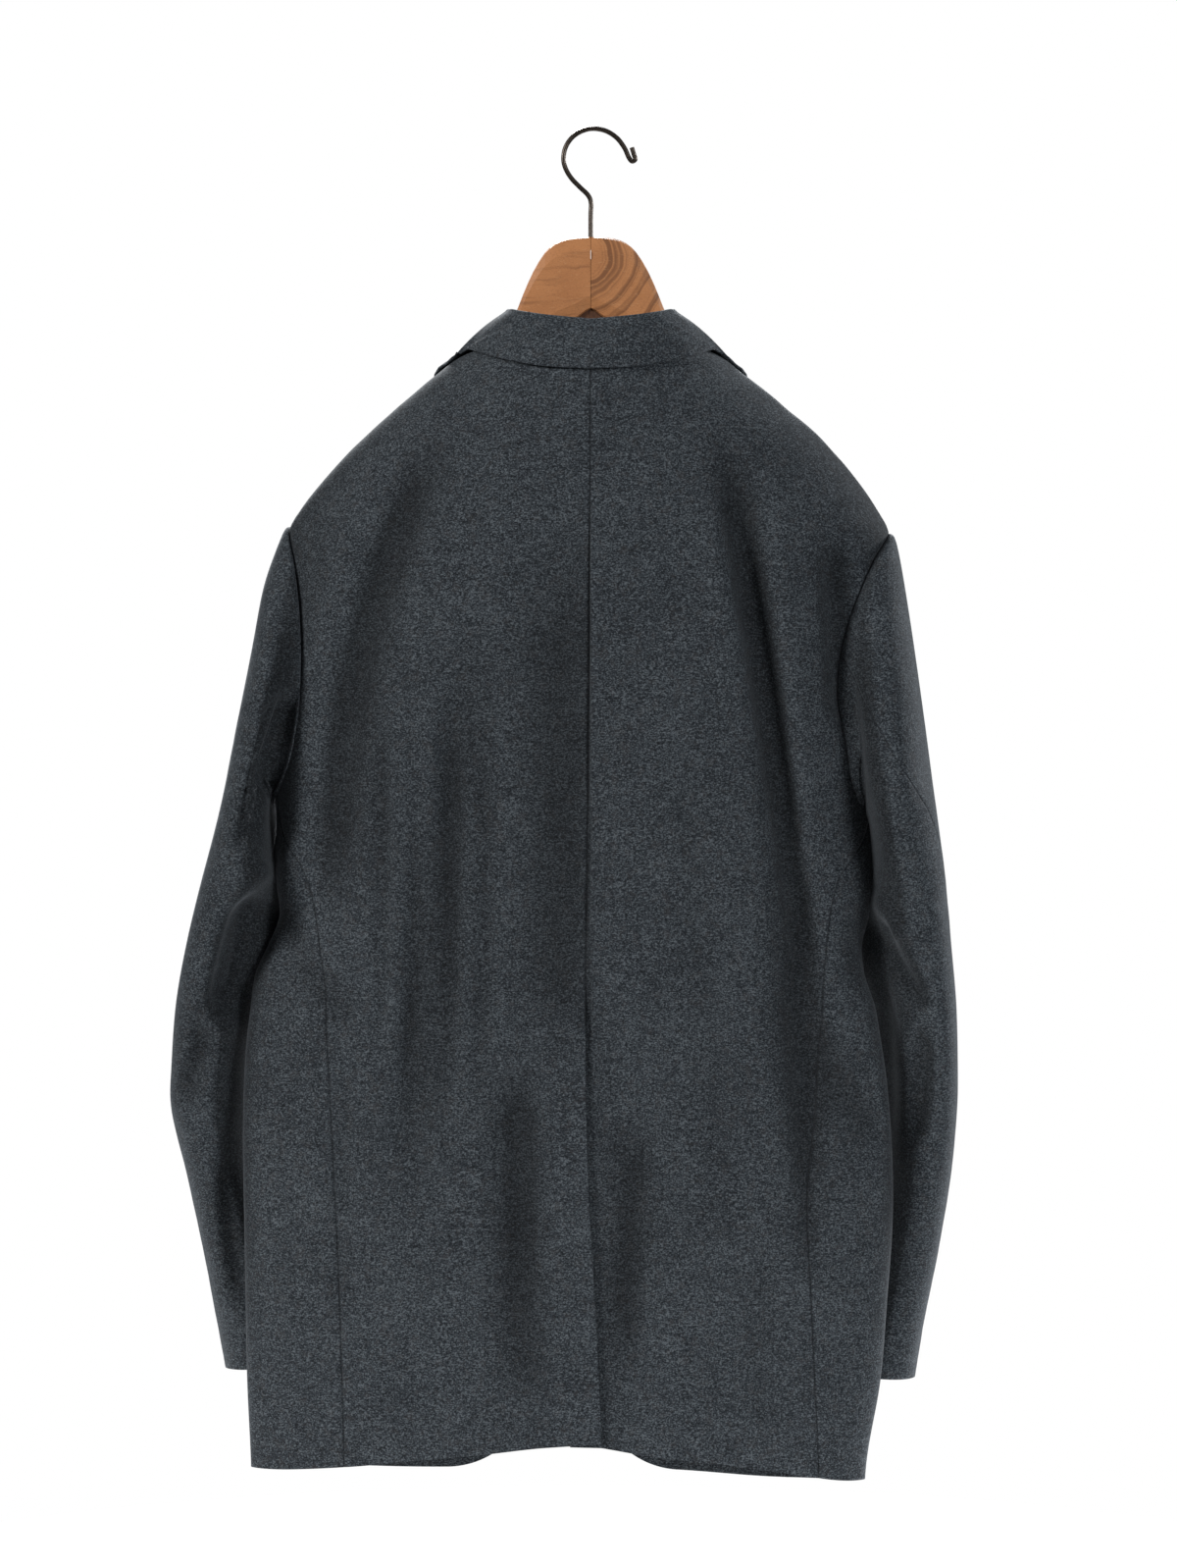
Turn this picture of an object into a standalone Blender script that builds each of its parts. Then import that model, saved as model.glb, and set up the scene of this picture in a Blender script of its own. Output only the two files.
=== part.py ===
"""Tailored jacket hanging on a wooden hanger, unfastened.

Frame: +Z up, the wearer's left is +X, the back faces +Y, and the origin is the
top of the hook's inside, where it rests on a rod. The tables are in millimetres.

Every body panel is cut from one smooth torso surface, so that neighbours share
their seam line and their wall direction. A point on it is named by side (+1 the
wearer's left, -1 the right), by the angle round the body (0 centre back, 90 the
side, 180 centre front) and by its height.
"""

import math

import bmesh
import bpy
import mathutils
import numpy as np

WALL = 1.6  # cloth, two layers pressed together
HALF_GAP = 0.15  # each edge at a seam draws back this far
WIRE = 3.5
BUTTON_WIDTH = 20.0

EDGE_COLUMNS = ("z", "left", "right")
EDGES = (  # how far the body reaches to each side, read at the outline
    (-1010, 245.0, -195.0),
    (-963, 245.7, -197.0),
    (-900, 248.5, -207.5),
    (-845, 249.5, -212.0),
    (-786, 250.5, -216.0),
    (-710, 251.3, -214.0),
    (-672, 250.0, -210.0),
    (-634, 246.0, -202.0),
    (-609, 240.0, -190.0),
    (-590, 230.0, -187.0),
    (-567, 221.5, -192.0),
    (-545, 224.0, -197.5),
    (-513, 227.5, -196.5),
    (-480, 229.0, -197.0),
    (-450, 228.0, -200.0),
    (-400, 227.0, -205.0),
    (-350, 226.5, -210.0),
    (-315, 225.0, -214.0),
    (-290, 221.0, -214.8),
    (-274, 211.5, -206.6),
    (-260, 201.0, -197.4),
    (-246, 189.0, -186.7),
    (-232, 176.0, -174.7),
    (-217, 160.5, -160.5),
    (-203, 144.8, -143.4),
    (-189, 128.5, -127.0),
    (-175, 111.5, -108.6),
    (-164, 96.5, -94.0),
    (-157, 82.0, -80.5),
    (-150, 66.0, -65.0),
    (-140, 48.0, -47.0),
    (-120, 30.0, -30.0),
)

SECTION_COLUMNS = (
    "z", "seam", "middle", "back", "side", "front", "back_p", "back_q", "front_p", "front_q",
)
SECTIONS = (  # centre back x, centre front x, then the depths and roundness
    (-1010, -8.0, 22.0, 66.0, 17.0, -62.0, 2.6, 0.50, 2.1, 0.66),
    (-950, -6.6, 21.0, 66.0, 18.0, -62.0, 2.6, 0.50, 2.1, 0.66),
    (-850, -2.0, 20.0, 65.0, 19.0, -64.0, 2.6, 0.50, 2.1, 0.66),
    (-750, 3.4, 18.0, 64.0, 20.0, -67.0, 2.6, 0.50, 2.1, 0.66),
    (-640, 5.3, 16.0, 64.0, 17.0, -71.0, 2.6, 0.50, 2.1, 0.64),
    (-560, 4.6, 14.0, 66.0, 8.0, -75.0, 2.6, 0.50, 2.2, 0.58),
    (-480, 3.6, 12.0, 70.0, 0.0, -79.0, 2.6, 0.50, 2.4, 0.52),
    (-400, 2.8, 10.0, 73.0, -3.0, -81.0, 2.6, 0.50, 2.5, 0.50),
    (-340, 2.3, 8.0, 74.0, -4.0, -81.0, 2.5, 0.53, 2.4, 0.53),
    (-290, 2.0, 6.0, 72.0, -4.0, -78.0, 2.3, 0.58, 2.2, 0.58),
    (-245, 1.7, 4.0, 68.0, -3.0, -72.0, 2.1, 0.63, 2.1, 0.63),
    (-203, 1.5, 3.0, 61.0, -2.0, -63.0, 2.0, 0.66, 2.0, 0.66),
    (-175, 1.4, 2.0, 55.0, -1.0, -54.0, 2.0, 0.66, 2.0, 0.66),
    (-153, 1.3, 1.0, 49.0, 0.0, -45.0, 2.0, 0.64, 2.0, 0.64),
    (-120, 1.2, 0.0, 40.0, 0.0, -34.0, 2.0, 0.62, 2.0, 0.62),
)

FOLD_COLUMNS = ("side", "x0", "z0", "x1", "z1", "x2", "z2", "width", "height")
FOLDS = (  # start, bend and end on the back as seen from behind; height under 0 is a valley
    (+1, 100, -206, 190, -370, 186, -600, 17, -9.0),
    (+1, 128, -215, 226, -370, 205, -560, 18, 4.0),
    (+1, 74, -330, 120, -560, 128, -800, 17, -3.5),
    (+1, 96, -340, 152, -560, 156, -820, 15, 3.0),
    (+1, 30, -300, 24, -480, 30, -700, 22, -4.0),
    (+1, 58, -660, 44, -780, 50, -940, 20, -5.0),
    (+1, 232, -560, 200, -620, 165, -645, 12, -4.0),
    (+1, 242, -585, 214, -560, 212, -500, 12, 4.0),
    (-1, -91, -205, -141, -434, -158, -815, 16, -11.0),
    (-1, -116, -250, -150, -420, -148, -600, 13, 5.0),
    (-1, -174, -285, -174, -360, -186, -450, 11, -8.0),
    (-1, -150, -640, -178, -690, -208, -735, 15, -5.0),
    (-1, -32, -700, -28, -780, -25, -900, 15, -3.5),
)

SEAM_COLUMNS = ("z", "left", "right")
SIDE_SEAMS = (  # between back and side panel, seen from behind
    (-1000, 176.0, -162.0),
    (-952, 176.8, -161.0),
    (-900, 178.2, -158.5),
    (-843, 180.3, -156.0),
    (-760, 184.0, -154.5),
    (-707, 186.5, -160.0),
    (-662, 188.9, -163.8),
    (-603, 193.2, -166.9),
    (-560, 199.5, -170.5),
    (-527, 208.0, -178.8),
    (-501, 215.0, -188.0),
)

ARMHOLE_COLUMNS = ("turn", "left_back", "left_front", "right_back", "right_front")
ARMHOLES = (  # turn from shoulder tip to underarm; the angle round the body on either side of it
    (0, 90.0, 90.0, 90.0, 90.0),
    (25, 78.5, 102.0, 76.0, 103.0),
    (60, 68.8, 115.0, 64.5, 117.0),
    (95, 65.4, 121.0, 62.0, 123.0),
    (120, 67.3, 120.0, 65.0, 122.0),
    (145, 73.0, 113.0, 71.0, 116.0),
    (165, 81.5, 104.0, 80.0, 106.0),
    (180, 92.0, 92.0, 92.0, 92.0),
)
SHOULDER_TIP = {1: -286.0, -1: -291.0}
UNDERARM = {1: -482.0, -1: -492.0}
SIDE_TURN = {1: 166.0, -1: 166.0}  # where the side panel's back seam meets the armhole
FRONT_TURN = {1: 150.0, -1: 150.0}  # and its front seam
FRONT_SEAM_HEM = {1: 131.0, -1: 131.0}

HEM_COLUMNS = ("angle", "left", "right")
HEMS = (  # height of the hem round the body
    (0, -940.5, -944.5),
    (10, -943.5, -949.5),
    (20, -948.5, -953.5),
    (30, -952.5, -957.0),
    (43, -957.5, -962.5),
    (60, -961.5, -969.0),
    (90, -963.5, -972.5),
    (120, -967.0, -977.0),
    (140, -971.0, -979.0),
    (160, -974.0, -978.0),
    (180, -975.0, -976.0),
)

# Neighbours share these counts, so that their edges meet point for point.
LOW_ROWS, ARM_ROWS = 14, 10  # hem to underarm, underarm to shoulder tip
UNDER_COLUMNS, RIDGE_COLUMNS, NECK_COLUMNS = 8, 11, 6
BACK_COLUMNS = NECK_COLUMNS + RIDGE_COLUMNS
ROWS = LOW_ROWS + ARM_ROWS

NECK_BACK = -163.0  # neck seam at centre back
NECK_POINT = {1: (82.0, -157.0), -1: (-80.5, -157.0)}
VENT_TOP = -648.0
VENT_LAP = 22.0  # how far the right back runs under the left
ROLL_COLUMNS = ("z", "gap")
ROLL = (  # half the opening between the fronts, neck to hem
    (-157, 81.0),
    (-175, 73.0),
    (-205, 64.0),
    (-250, 55.0),
    (-330, 41.0),
    (-420, 27.0),
    (-500, 15.0),
    (-575, 9.0),
    (-700, 12.0),
    (-820, 17.0),
    (-900, 22.0),
    (-1000, 30.0),
)
CORNER = 62.0  # rounded front corner
GORGE_NODE = 2  # the corner of the front's edge, counted from the neck point, where collar meets lapel
LAPEL_END = -578.0
LAPEL_ROWS = 13
LAPEL_COLUMNS = ("z", "reach")
LAPELS = (  # how far the lapel lies over the front, square to the roll line
    (-227, 87.0),
    (-245, 88.0),
    (-262, 85.0),
    (-300, 79.0),
    (-360, 68.0),
    (-430, 53.0),
    (-500, 35.0),
    (-550, 18.0),
    (-585, 6.0),
)

COLLAR_COLUMNS = ("station", "top_x", "top_y", "top_z", "edge_x", "edge_z")
COLLAR = (  # station 0 centre back, 0.6 the neck point, 1 the gorge; the fold's top, then the fall's edge
    (0.0, 0.3, 46.0, -137.0, 0.5, -174.0),
    (0.2, 31.0, 43.0, -134.5, 37.0, -171.5),
    (0.4, 51.0, 31.0, -131.8, 71.0, -164.5),
    (0.5, 58.0, 20.0, -131.0, 87.0, -162.5),
    (0.6, 61.0, 5.0, -132.5, 100.5, -168.0),
    (0.7, 61.5, -29.0, -151.0, 112.0, -184.0),
    (0.8, 61.5, -50.0, -177.0, 119.0, -204.0),
    (0.9, 60.0, -64.0, -200.0, 122.0, -216.0),
    (1.0, 57.5, -71.5, -220.6, 119.0, -227.0),
)

SLEEVE_COLUMNS = (
    "out_x", "out_z", "in_x", "in_z", "back_x", "back_y", "front_x", "front_y",
)
SLEEVES = {  # a row for each section: outermost and innermost points, then the two folded edges
    1: (
        (223.0, -289.0, 230.5, -484.5, 210, 39, 208, -48),
        (229.0, -303.0, 232.0, -487.0, 218, 45, 214, -55),
        (237.8, -331.0, 232.5, -490.0, 227, 53, 222, -63),
        (245.5, -374.0, 232.5, -496.0, 235, 60, 230, -70),
        (256.0, -430.0, 232.0, -508.0, 242, 63, 236, -74),
        (267.0, -487.0, 229.5, -527.0, 250, 62, 242, -77),
        (281.0, -545.0, 226.5, -558.0, 262, 55, 249, -79),
        (290.5, -588.0, 228.0, -592.0, 272, 46, 256, -82),
        (298.5, -630.0, 238.0, -630.0, 279, 38, 260, -87),
        (302.5, -672.0, 244.0, -668.0, 282, 30, 261, -93),
        (303.5, -708.0, 243.0, -700.0, 281, 22, 257, -98),
        (293.0, -757.0, 240.0, -750.0, 272, 9, 246, -104),
        (282.0, -814.0, 231.0, -808.0, 261, -6, 234, -111),
        (272.6, -870.0, 222.0, -866.0, 251, -19, 223, -119),
        (267.5, -901.0, 218.0, -898.0, 246, -25, 218, -123),
    ),
    -1: (
        (-218.5, -294.0, -198.0, -494.5, -185, 43, -192, -50),
        (-222.0, -305.0, -199.0, -497.0, -190, 49, -197, -57),
        (-227.0, -333.0, -200.0, -500.0, -198, 57, -204, -64),
        (-233.5, -376.0, -201.0, -506.0, -206, 62, -210, -70),
        (-241.0, -430.0, -202.0, -517.0, -214, 64, -217, -74),
        (-248.5, -487.0, -202.5, -533.0, -221, 62, -222, -77),
        (-255.5, -545.0, -200.0, -560.0, -230, 55, -228, -79),
        (-259.0, -588.0, -197.0, -596.0, -236, 46, -231, -82),
        (-262.5, -630.0, -201.0, -633.0, -241, 38, -233, -87),
        (-264.0, -672.0, -204.0, -672.0, -243, 30, -233, -93),
        (-264.0, -708.0, -206.0, -706.0, -243, 22, -231, -98),
        (-260.5, -757.0, -208.0, -754.0, -239, 9, -224, -104),
        (-252.0, -814.0, -203.0, -812.0, -231, -6, -214, -111),
        (-242.0, -870.0, -196.0, -868.0, -221, -19, -203, -119),
        (-236.5, -908.0, -190.5, -906.0, -215, -26, -196, -124),
    ),
}
SLEEVE_FOLDS = (  # as FOLDS, on the sleeves' backs; the first valley of each runs from the armhole
    (+1, 208, -398, 226, -450, 256, -534, 8, -9.0),
    (+1, 232, -552, 262, -575, 268, -650, 9, -8.0),
    (+1, 274, -640, 282, -680, 300, -706, 10, -6.0),
    (+1, 262, -735, 266, -800, 252, -860, 9, -4.0),
    (-1, -200, -560, -205, -598, -244, -640, 9, -9.0),
    (-1, -232, -640, -240, -690, -228, -740, 10, -6.0),
    (-1, -236, -470, -246, -520, -252, -560, 10, 2.5),
)
HIND_NODE = 5  # the armhole corner that the hind-arm seam starts from
HIND_TURNS = {  # where that seam runs, in each section from the armhole down
    1: (83, 76, 66, 52, 38, 25, 17, 14, 13, 13, 14, 16, 18, 20, 22, 24),
    -1: (83, 90, 93, 93, 88, 74, 46, 22, 12, 10, 10, 12, 14, 17, 20, 22),
}
FORE_TURN = 228.0  # and the seam on the sleeve's inner front, below the armhole

HOOK_COLUMNS = ("x", "z")
HOOK_PATH = (  # centre line of the wire, from the wood up
    (1.2, -86.0),
    (1.2, -62.0),
    (1.0, -52.0),
    (3.2, -46.4),
    (9.4, -40.3),
    (15.5, -33.8),
    (19.6, -26.6),
    (20.9, -19.6),
    (19.3, -11.6),
    (14.6, -4.6),
    (8.0, -0.2),
    (0.0, 1.75),
    (-9.4, 0.2),
    (-17.6, -4.9),
    (-23.2, -12.2),
    (-26.2, -18.8),
    (-28.6, -21.8),
    (-31.0, -20.6),
    (-31.4, -17.4),
    (-29.6, -11.6),
)

HANGER_COLUMNS = ("x", "top", "bottom", "y", "thick")
HANGER = (  # one arm from the joint outwards
    (0.0, -76.8, -129.5, 0.0, 15.0),
    (4.0, -76.9, -131.5, 0.0, 15.0),
    (10.0, -77.2, -136.0, 0.0, 15.0),
    (19.0, -78.6, -140.0, 0.0, 15.0),
    (27.0, -82.4, -144.0, 0.0, 15.0),
    (34.0, -89.5, -148.0, 0.0, 15.0),
    (42.0, -103.0, -154.0, 0.0, 15.0),
    (49.0, -119.0, -161.0, 0.0, 15.0),
    (55.0, -134.0, -168.0, 0.0, 15.0),
    (64.0, -152.0, -177.0, 0.0, 15.0),
    (78.0, -168.0, -192.0, -0.5, 14.5),
    (102.0, -184.0, -209.0, -1.0, 13.5),
    (132.0, -204.0, -228.0, -2.0, 12.5),
    (160.0, -228.0, -249.0, -2.5, 11.5),
    (180.0, -247.0, -264.0, -3.0, 10.0),
)

BUTTON_Z = (-592.0, -692.0)

CLOTH_COLOUR = (0.047, 0.054, 0.064, 1.0)
WOOD_COLOUR = (0.33, 0.13, 0.06, 1.0)
METAL_COLOUR = (0.016, 0.013, 0.012, 1.0)
HORN_COLOUR = (0.020, 0.017, 0.016, 1.0)


def smooth(t):
    t = np.clip(t, 0.0, 1.0)
    return t * t * (3 - 2 * t)


def read(table, columns, key, name, at):
    """A smooth line through one column of a table, read at any value of its key."""
    rows = np.array(sorted(table, key=lambda row: row[columns.index(key)]), float)
    x, y = rows[:, columns.index(key)], rows[:, columns.index(name)]
    at = np.clip(np.asarray(at, float), x[0], x[-1])
    step = np.diff(x)
    slope = np.diff(y) / step
    tangent = np.concatenate([slope[:1], (step[1:] * slope[:-1] + step[:-1] * slope[1:]) / (step[1:] + step[:-1]), slope[-1:]])
    i = np.clip(np.searchsorted(x, at) - 1, 0, len(x) - 2)
    t = (at - x[i]) / step[i]
    return (
        (2 * t**3 - 3 * t**2 + 1) * y[i]
        + (t**3 - 2 * t**2 + t) * step[i] * tangent[i]
        + (3 * t**2 - 2 * t**3) * y[i + 1]
        + (t**3 - t**2) * step[i] * tangent[i + 1]
    )


def section(name, z):
    return read(SECTIONS, SECTION_COLUMNS, "z", name, z)


def edge(side, z):
    return read(EDGES, EDGE_COLUMNS, "z", "left" if side > 0 else "right", z)


def torso(side, angle, z):
    """The plain torso, before its folds: points of angle (radians) and height."""
    angle, z = np.broadcast_arrays(np.asarray(angle, float), np.asarray(z, float))
    behind = angle <= math.pi / 2
    centre = np.where(behind, section("seam", z), section("middle", z))
    g = np.sin(angle)
    p = np.where(behind, section("back_p", z), section("front_p", z))
    q = np.where(behind, section("back_q", z), section("front_q", z))
    rise = np.clip(1 - np.abs(g) ** p, 0.0, None) ** q
    middle = section("side", z)
    y = np.where(behind, middle + (section("back", z) - middle) * rise, middle - (middle - section("front", z)) * rise)
    return np.stack([centre + (edge(side, z) - centre) * g, y, z], axis=-1)


def across(surface, side, angle, z):
    """The direction straight out of a surface."""
    turn, rise = 0.004, 0.4
    along = surface(side, angle + turn, z) - surface(side, angle - turn, z)
    up = surface(side, angle, z + rise) - surface(side, angle, z - rise)
    out = np.cross(along, up) * -side
    return out / np.linalg.norm(out, axis=-1, keepdims=True)


def near_path(x, z, row):
    """(distance to a fold's bent line, how far along it), for each point."""
    _, x0, z0, x1, z1, x2, z2 = row[:7]
    t = np.linspace(0, 1, 25)[:, None]
    line = (1 - t) ** 2 * np.array([x0, z0]) + 2 * t * (1 - t) * np.array([x1, z1]) + t**2 * np.array([x2, z2])
    best = np.full(x.shape, 1e9)
    where = np.zeros(x.shape)
    for k, (a, b) in enumerate(zip(line[:-1], line[1:])):
        d = b - a
        s = np.clip(((x - a[0]) * d[0] + (z - a[1]) * d[1]) / (d @ d), 0, 1)
        far = np.hypot(x - a[0] - s * d[0], z - a[1] - s * d[1])
        where = np.where(far < best, (k + s) / 24, where)
        best = np.minimum(best, far)
    return best, where


def folded(folds, x, z):
    """How far all the folds lift the cloth."""
    lift = np.zeros(np.shape(x))
    for row in folds:
        far, t = near_path(x, z, row)
        lift += row[8] * np.exp(-((far / row[7]) ** 2)) * smooth(t / 0.25) * smooth((1 - t) / 0.25)
    return lift


def body(side, angle, z):
    """The torso with its folds, drawn in along the vent on the wearer's right."""
    angle, z = np.broadcast_arrays(np.asarray(angle, float), np.asarray(z, float))
    p = torso(side, angle, z)
    lift = folded(FOLDS, p[..., 0], p[..., 2]) * smooth(np.cos(angle) / 0.3)
    return p + across(torso, side, angle, z) * lift[..., None]


def angle_behind(side, x, z):
    centre = section("seam", z)
    return np.arcsin(np.clip((x - centre) / (edge(side, z) - centre), -1, 1))


def angle_before(side, x, z):
    centre = section("middle", z)
    return math.pi - np.arcsin(np.clip((x - centre) / (edge(side, z) - centre), -1, 1))


def armhole(side, turn):
    """(angle, height) on the armhole; turn runs 0 at the tip, 180 underarm, 360 at the tip again, back first."""
    turn = np.asarray(turn, float)
    half = np.where(turn > 180, 360 - turn, turn)
    word = "left" if side > 0 else "right"
    back = read(ARMHOLES, ARMHOLE_COLUMNS, "turn", word + "_back", half)
    front = read(ARMHOLES, ARMHOLE_COLUMNS, "turn", word + "_front", half)
    top, low = SHOULDER_TIP[side], UNDERARM[side]
    z = (top + low) / 2 + (top - low) / 2 * np.cos(np.radians(half))
    return np.radians(np.where(turn > 180, front, back)), z


def hem(side, angle):
    return read(HEMS, HEM_COLUMNS, "angle", "left" if side > 0 else "right", np.degrees(angle))


def coons(left, right, bottom, top, columns, rows, pull=2.5):
    """A four-sided patch in (angle, height) between its edges, each a function of 0 to 1."""
    u = np.linspace(0, 1, columns + 1)[:, None]
    v = np.linspace(0, 1, rows + 1)[None, :]
    u1, v1 = u[:, 0], v[0]
    le, ri, bo, to = (np.stack(f(t), -1) for f, t in ((left, v1), (right, v1), (bottom, u1), (top, u1)))
    ruled = (1 - u)[..., None] * le[None] + u[..., None] * ri[None]
    high = to - ((1 - u) * le[-1] + u * ri[-1])
    low = bo - ((1 - u) * le[0] + u * ri[0])
    return ruled + (v**pull)[..., None] * high[:, None] + ((1 - v) ** pull)[..., None] * low[:, None]


def mesh_object(name, build, colour, roughness=0.9, metallic=0.0):
    """One named object whose mesh the build function fills, in metres, with its own material."""
    bm = bmesh.new()
    build(bm)
    bmesh.ops.recalc_face_normals(bm, faces=bm.faces)
    if bm.calc_volume(signed=True) < 0:
        bmesh.ops.reverse_faces(bm, faces=bm.faces)
    for v in bm.verts:
        v.co *= 0.001
    mesh = bpy.data.meshes.new(name)
    bm.to_mesh(mesh)
    bm.free()
    mesh.shade_smooth()
    mesh.set_sharp_from_angle(angle=math.radians(50))
    material = bpy.data.materials.new(name)
    material.use_nodes = True
    shader = material.node_tree.nodes["Principled BSDF"]
    shader.inputs["Base Color"].default_value = colour
    shader.inputs["Roughness"].default_value = roughness
    shader.inputs["Metallic"].default_value = metallic
    material.diffuse_color = colour
    mesh.materials.append(material)
    obj = bpy.data.objects.new(name, mesh)
    collection.objects.link(obj)
    return obj


def grid(bm, points):
    """A grid sheet moved onto the points, and its corners by row and column."""
    m, n = points.shape[0] - 1, points.shape[1] - 1
    made = bmesh.ops.create_grid(bm, x_segments=m, y_segments=n, size=1.0)["verts"]
    corners = {}
    for v in made:
        i, j = round((v.co.x + 1) / 2 * m), round((v.co.y + 1) / 2 * n)
        corners[i, j] = v
    for (i, j), v in corners.items():
        v.co = points[i, j]
    return corners


def wall(name, outer, out, thick=WALL, colour=CLOTH_COLOUR):
    """Cloth between an outer grid of points and the same grid moved in, closed along its rim."""

    def build(bm):
        m, n = outer.shape[0] - 1, outer.shape[1] - 1
        a = grid(bm, outer)
        b = grid(bm, outer - out * thick)
        rim = [(i, 0) for i in range(m)] + [(m, j) for j in range(n)]
        rim += [(i, n) for i in range(m, 0, -1)] + [(0, j) for j in range(n, 0, -1)]
        for one, two in zip(rim, rim[1:] + rim[:1]):
            bm.faces.new((a[one], a[two], b[two], b[one]))

    return mesh_object(name, build, colour)


def draw_back(points, sides, by=HALF_GAP):
    """The grid with the named edges drawn back towards its inside by half a seam's gap."""
    p = points.copy()
    by = np.asarray(by, float)[..., None] if np.ndim(by) else by
    for side in sides:
        at, inner = {"u0": (0, 1), "u1": (-1, -2), "v0": (0, 1), "v1": (-1, -2)}[side]
        a, b = (points[at], points[inner]) if side[0] == "u" else (points[:, at], points[:, inner])
        d = (b - a) / np.maximum(np.linalg.norm(b - a, axis=-1, keepdims=True), 1e-6)
        if side[0] == "u":
            p[at] += d * by
        else:
            p[:, at] += d * by
    return p


def body_panel(name, side, domain, sides, lift=None):
    """One panel of the body from its grid of (angle, height)."""
    angle, z = domain[..., 0], domain[..., 1]
    p, out = body(side, angle, z), across(body, side, angle, z)
    if lift is not None:
        p = p + out * lift(p)[..., None]
    return wall(name, draw_back(p, sides), out)


def side_seam(side, z):
    """Angle of the seam between back and side panel; it runs into the armhole at its top."""
    x = read(SIDE_SEAMS, SEAM_COLUMNS, "z", "left" if side > 0 else "right", z)
    angle = angle_behind(side, x, z)
    top_angle, top_z = armhole(side, SIDE_TURN[side])
    return angle + (top_angle - angle) * smooth((z - (top_z - 55)) / 55)


def front_seam(side, z):
    top_angle, top_z = armhole(side, 360 - FRONT_TURN[side])
    low = math.radians(FRONT_SEAM_HEM[side])
    return low + (top_angle - low) * smooth((z + 960) / (top_z + 960)) ** 0.8


def hem_corner(side, seam):
    """Height at which a seam line meets the hem."""
    z = -960.0
    for _ in range(8):
        z = float(hem(side, seam(side, np.array(z))))
    return z


def back_domain(side, lap=0.0):
    """The back panel: centre seam, then hem, side seam with armhole, and neck with shoulder."""
    low = hem_corner(side, side_seam)
    join = armhole(side, SIDE_TURN[side])[1]
    split = LOW_ROWS / ROWS

    def right(v):
        z = low + (join - low) * np.clip(v / split, 0, 1)
        a = side_seam(side, z)
        turn = SIDE_TURN[side] * np.clip((1 - v) / (1 - split), 0, 1)
        arm_a, arm_z = armhole(side, turn)
        low_part = v <= split + 1e-9
        return np.where(low_part, a, arm_a), np.where(low_part, z, arm_z)

    def inner_x(z):
        return section("seam", z) + lap * smooth((VENT_TOP - 4 - z) / 26)

    hem_inner = float(hem(side, np.array(0.0))) + (1.5 if lap else 0.0)

    def left(v):
        z = hem_inner + (NECK_BACK - hem_inner) * v
        return angle_behind(side, inner_x(z), z), z

    a0, a1 = float(left(np.array([0.0]))[0][0]), float(side_seam(side, np.array(low)))

    def bottom(u):
        a = a0 + (a1 - a0) * u
        z = hem(side, np.clip(a, 0, None)) + (hem_inner - float(hem(side, np.array(max(a0, 0.0))))) * (1 - u) ** 4
        return a, z

    nx, nz = NECK_POINT[side]
    turn = NECK_COLUMNS / BACK_COLUMNS

    def top(u):
        t = np.clip(u / turn, 0, 1)
        neck_x = section("seam", NECK_BACK) + (nx - section("seam", NECK_BACK)) * t
        neck_z = NECK_BACK + (nz - NECK_BACK) * smooth(t)
        neck_a = angle_behind(side, neck_x, neck_z)
        neck_a = np.where(t >= 1 - 1e-9, math.pi / 2, neck_a)
        s = np.clip((u - turn) / (1 - turn), 0, 1)
        ridge_z = nz + (SHOULDER_TIP[side] - nz) * s
        return np.where(u <= turn, neck_a, math.pi / 2), np.where(u <= turn, neck_z, ridge_z)

    return left, right, bottom, top


def in_x(side, functions, columns, rows, convert):
    """A patch laid out in x and height, so that its rows stay even, then turned into angles."""
    f = []
    for function in functions:
        def seen(t, function=function):
            a, z = function(t)
            return torso(side, a, z)[..., 0], z
        f.append(seen)
    flat = coons(*f, columns, rows)
    angle = convert(side, flat[..., 0], flat[..., 1])
    grid_edges = np.stack([angle, flat[..., 1]], -1)
    u, v = np.linspace(0, 1, columns + 1), np.linspace(0, 1, rows + 1)
    for where, function, t in (((0, slice(None)), functions[0], v), ((-1, slice(None)), functions[1], v), ((slice(None), 0), functions[2], u), ((slice(None), -1), functions[3], u)):
        grid_edges[where] = np.stack(function(t), -1)
    return grid_edges


def backs():
    for side, name in ((1, "back_left"), (-1, "back_right")):
        lap = VENT_LAP if side < 0 else 0.0
        domain = in_x(side, back_domain(side, lap), BACK_COLUMNS, ROWS, angle_behind)

        def lift(p, side=side):
            below = smooth((VENT_TOP + 40 - p[..., 2]) / 40)
            near = section("seam", p[..., 2])
            if side > 0:
                return 1.0 * below * smooth((near + 52 - p[..., 0]) / 28)
            return -2.2 * below * smooth((p[..., 0] - near + 32) / 28)

        body_panel(name, side, domain, ("u0", "u1", "v1"), lift)


def sides():
    for side, name in ((1, "side_left"), (-1, "side_right")):

        def left(v, side=side):
            low, top = hem_corner(side, side_seam), armhole(side, SIDE_TURN[side])[1]
            z = low + (top - low) * v
            return side_seam(side, z), z

        def right(v, side=side):
            low, top = hem_corner(side, front_seam), armhole(side, 360 - FRONT_TURN[side])[1]
            z = low + (top - low) * v
            return front_seam(side, z), z

        def bottom(u, side=side):
            a0, a1 = side_seam(side, np.array(hem_corner(side, side_seam))), front_seam(side, np.array(hem_corner(side, front_seam)))
            a = a0 + (a1 - a0) * u
            return a, hem(side, a)

        def top(u, side=side):
            return armhole(side, SIDE_TURN[side] + (360 - FRONT_TURN[side] - SIDE_TURN[side]) * u)

        body_panel(name, side, coons(left, right, bottom, top, UNDER_COLUMNS, LOW_ROWS), ("u0", "u1", "v1"))


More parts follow.
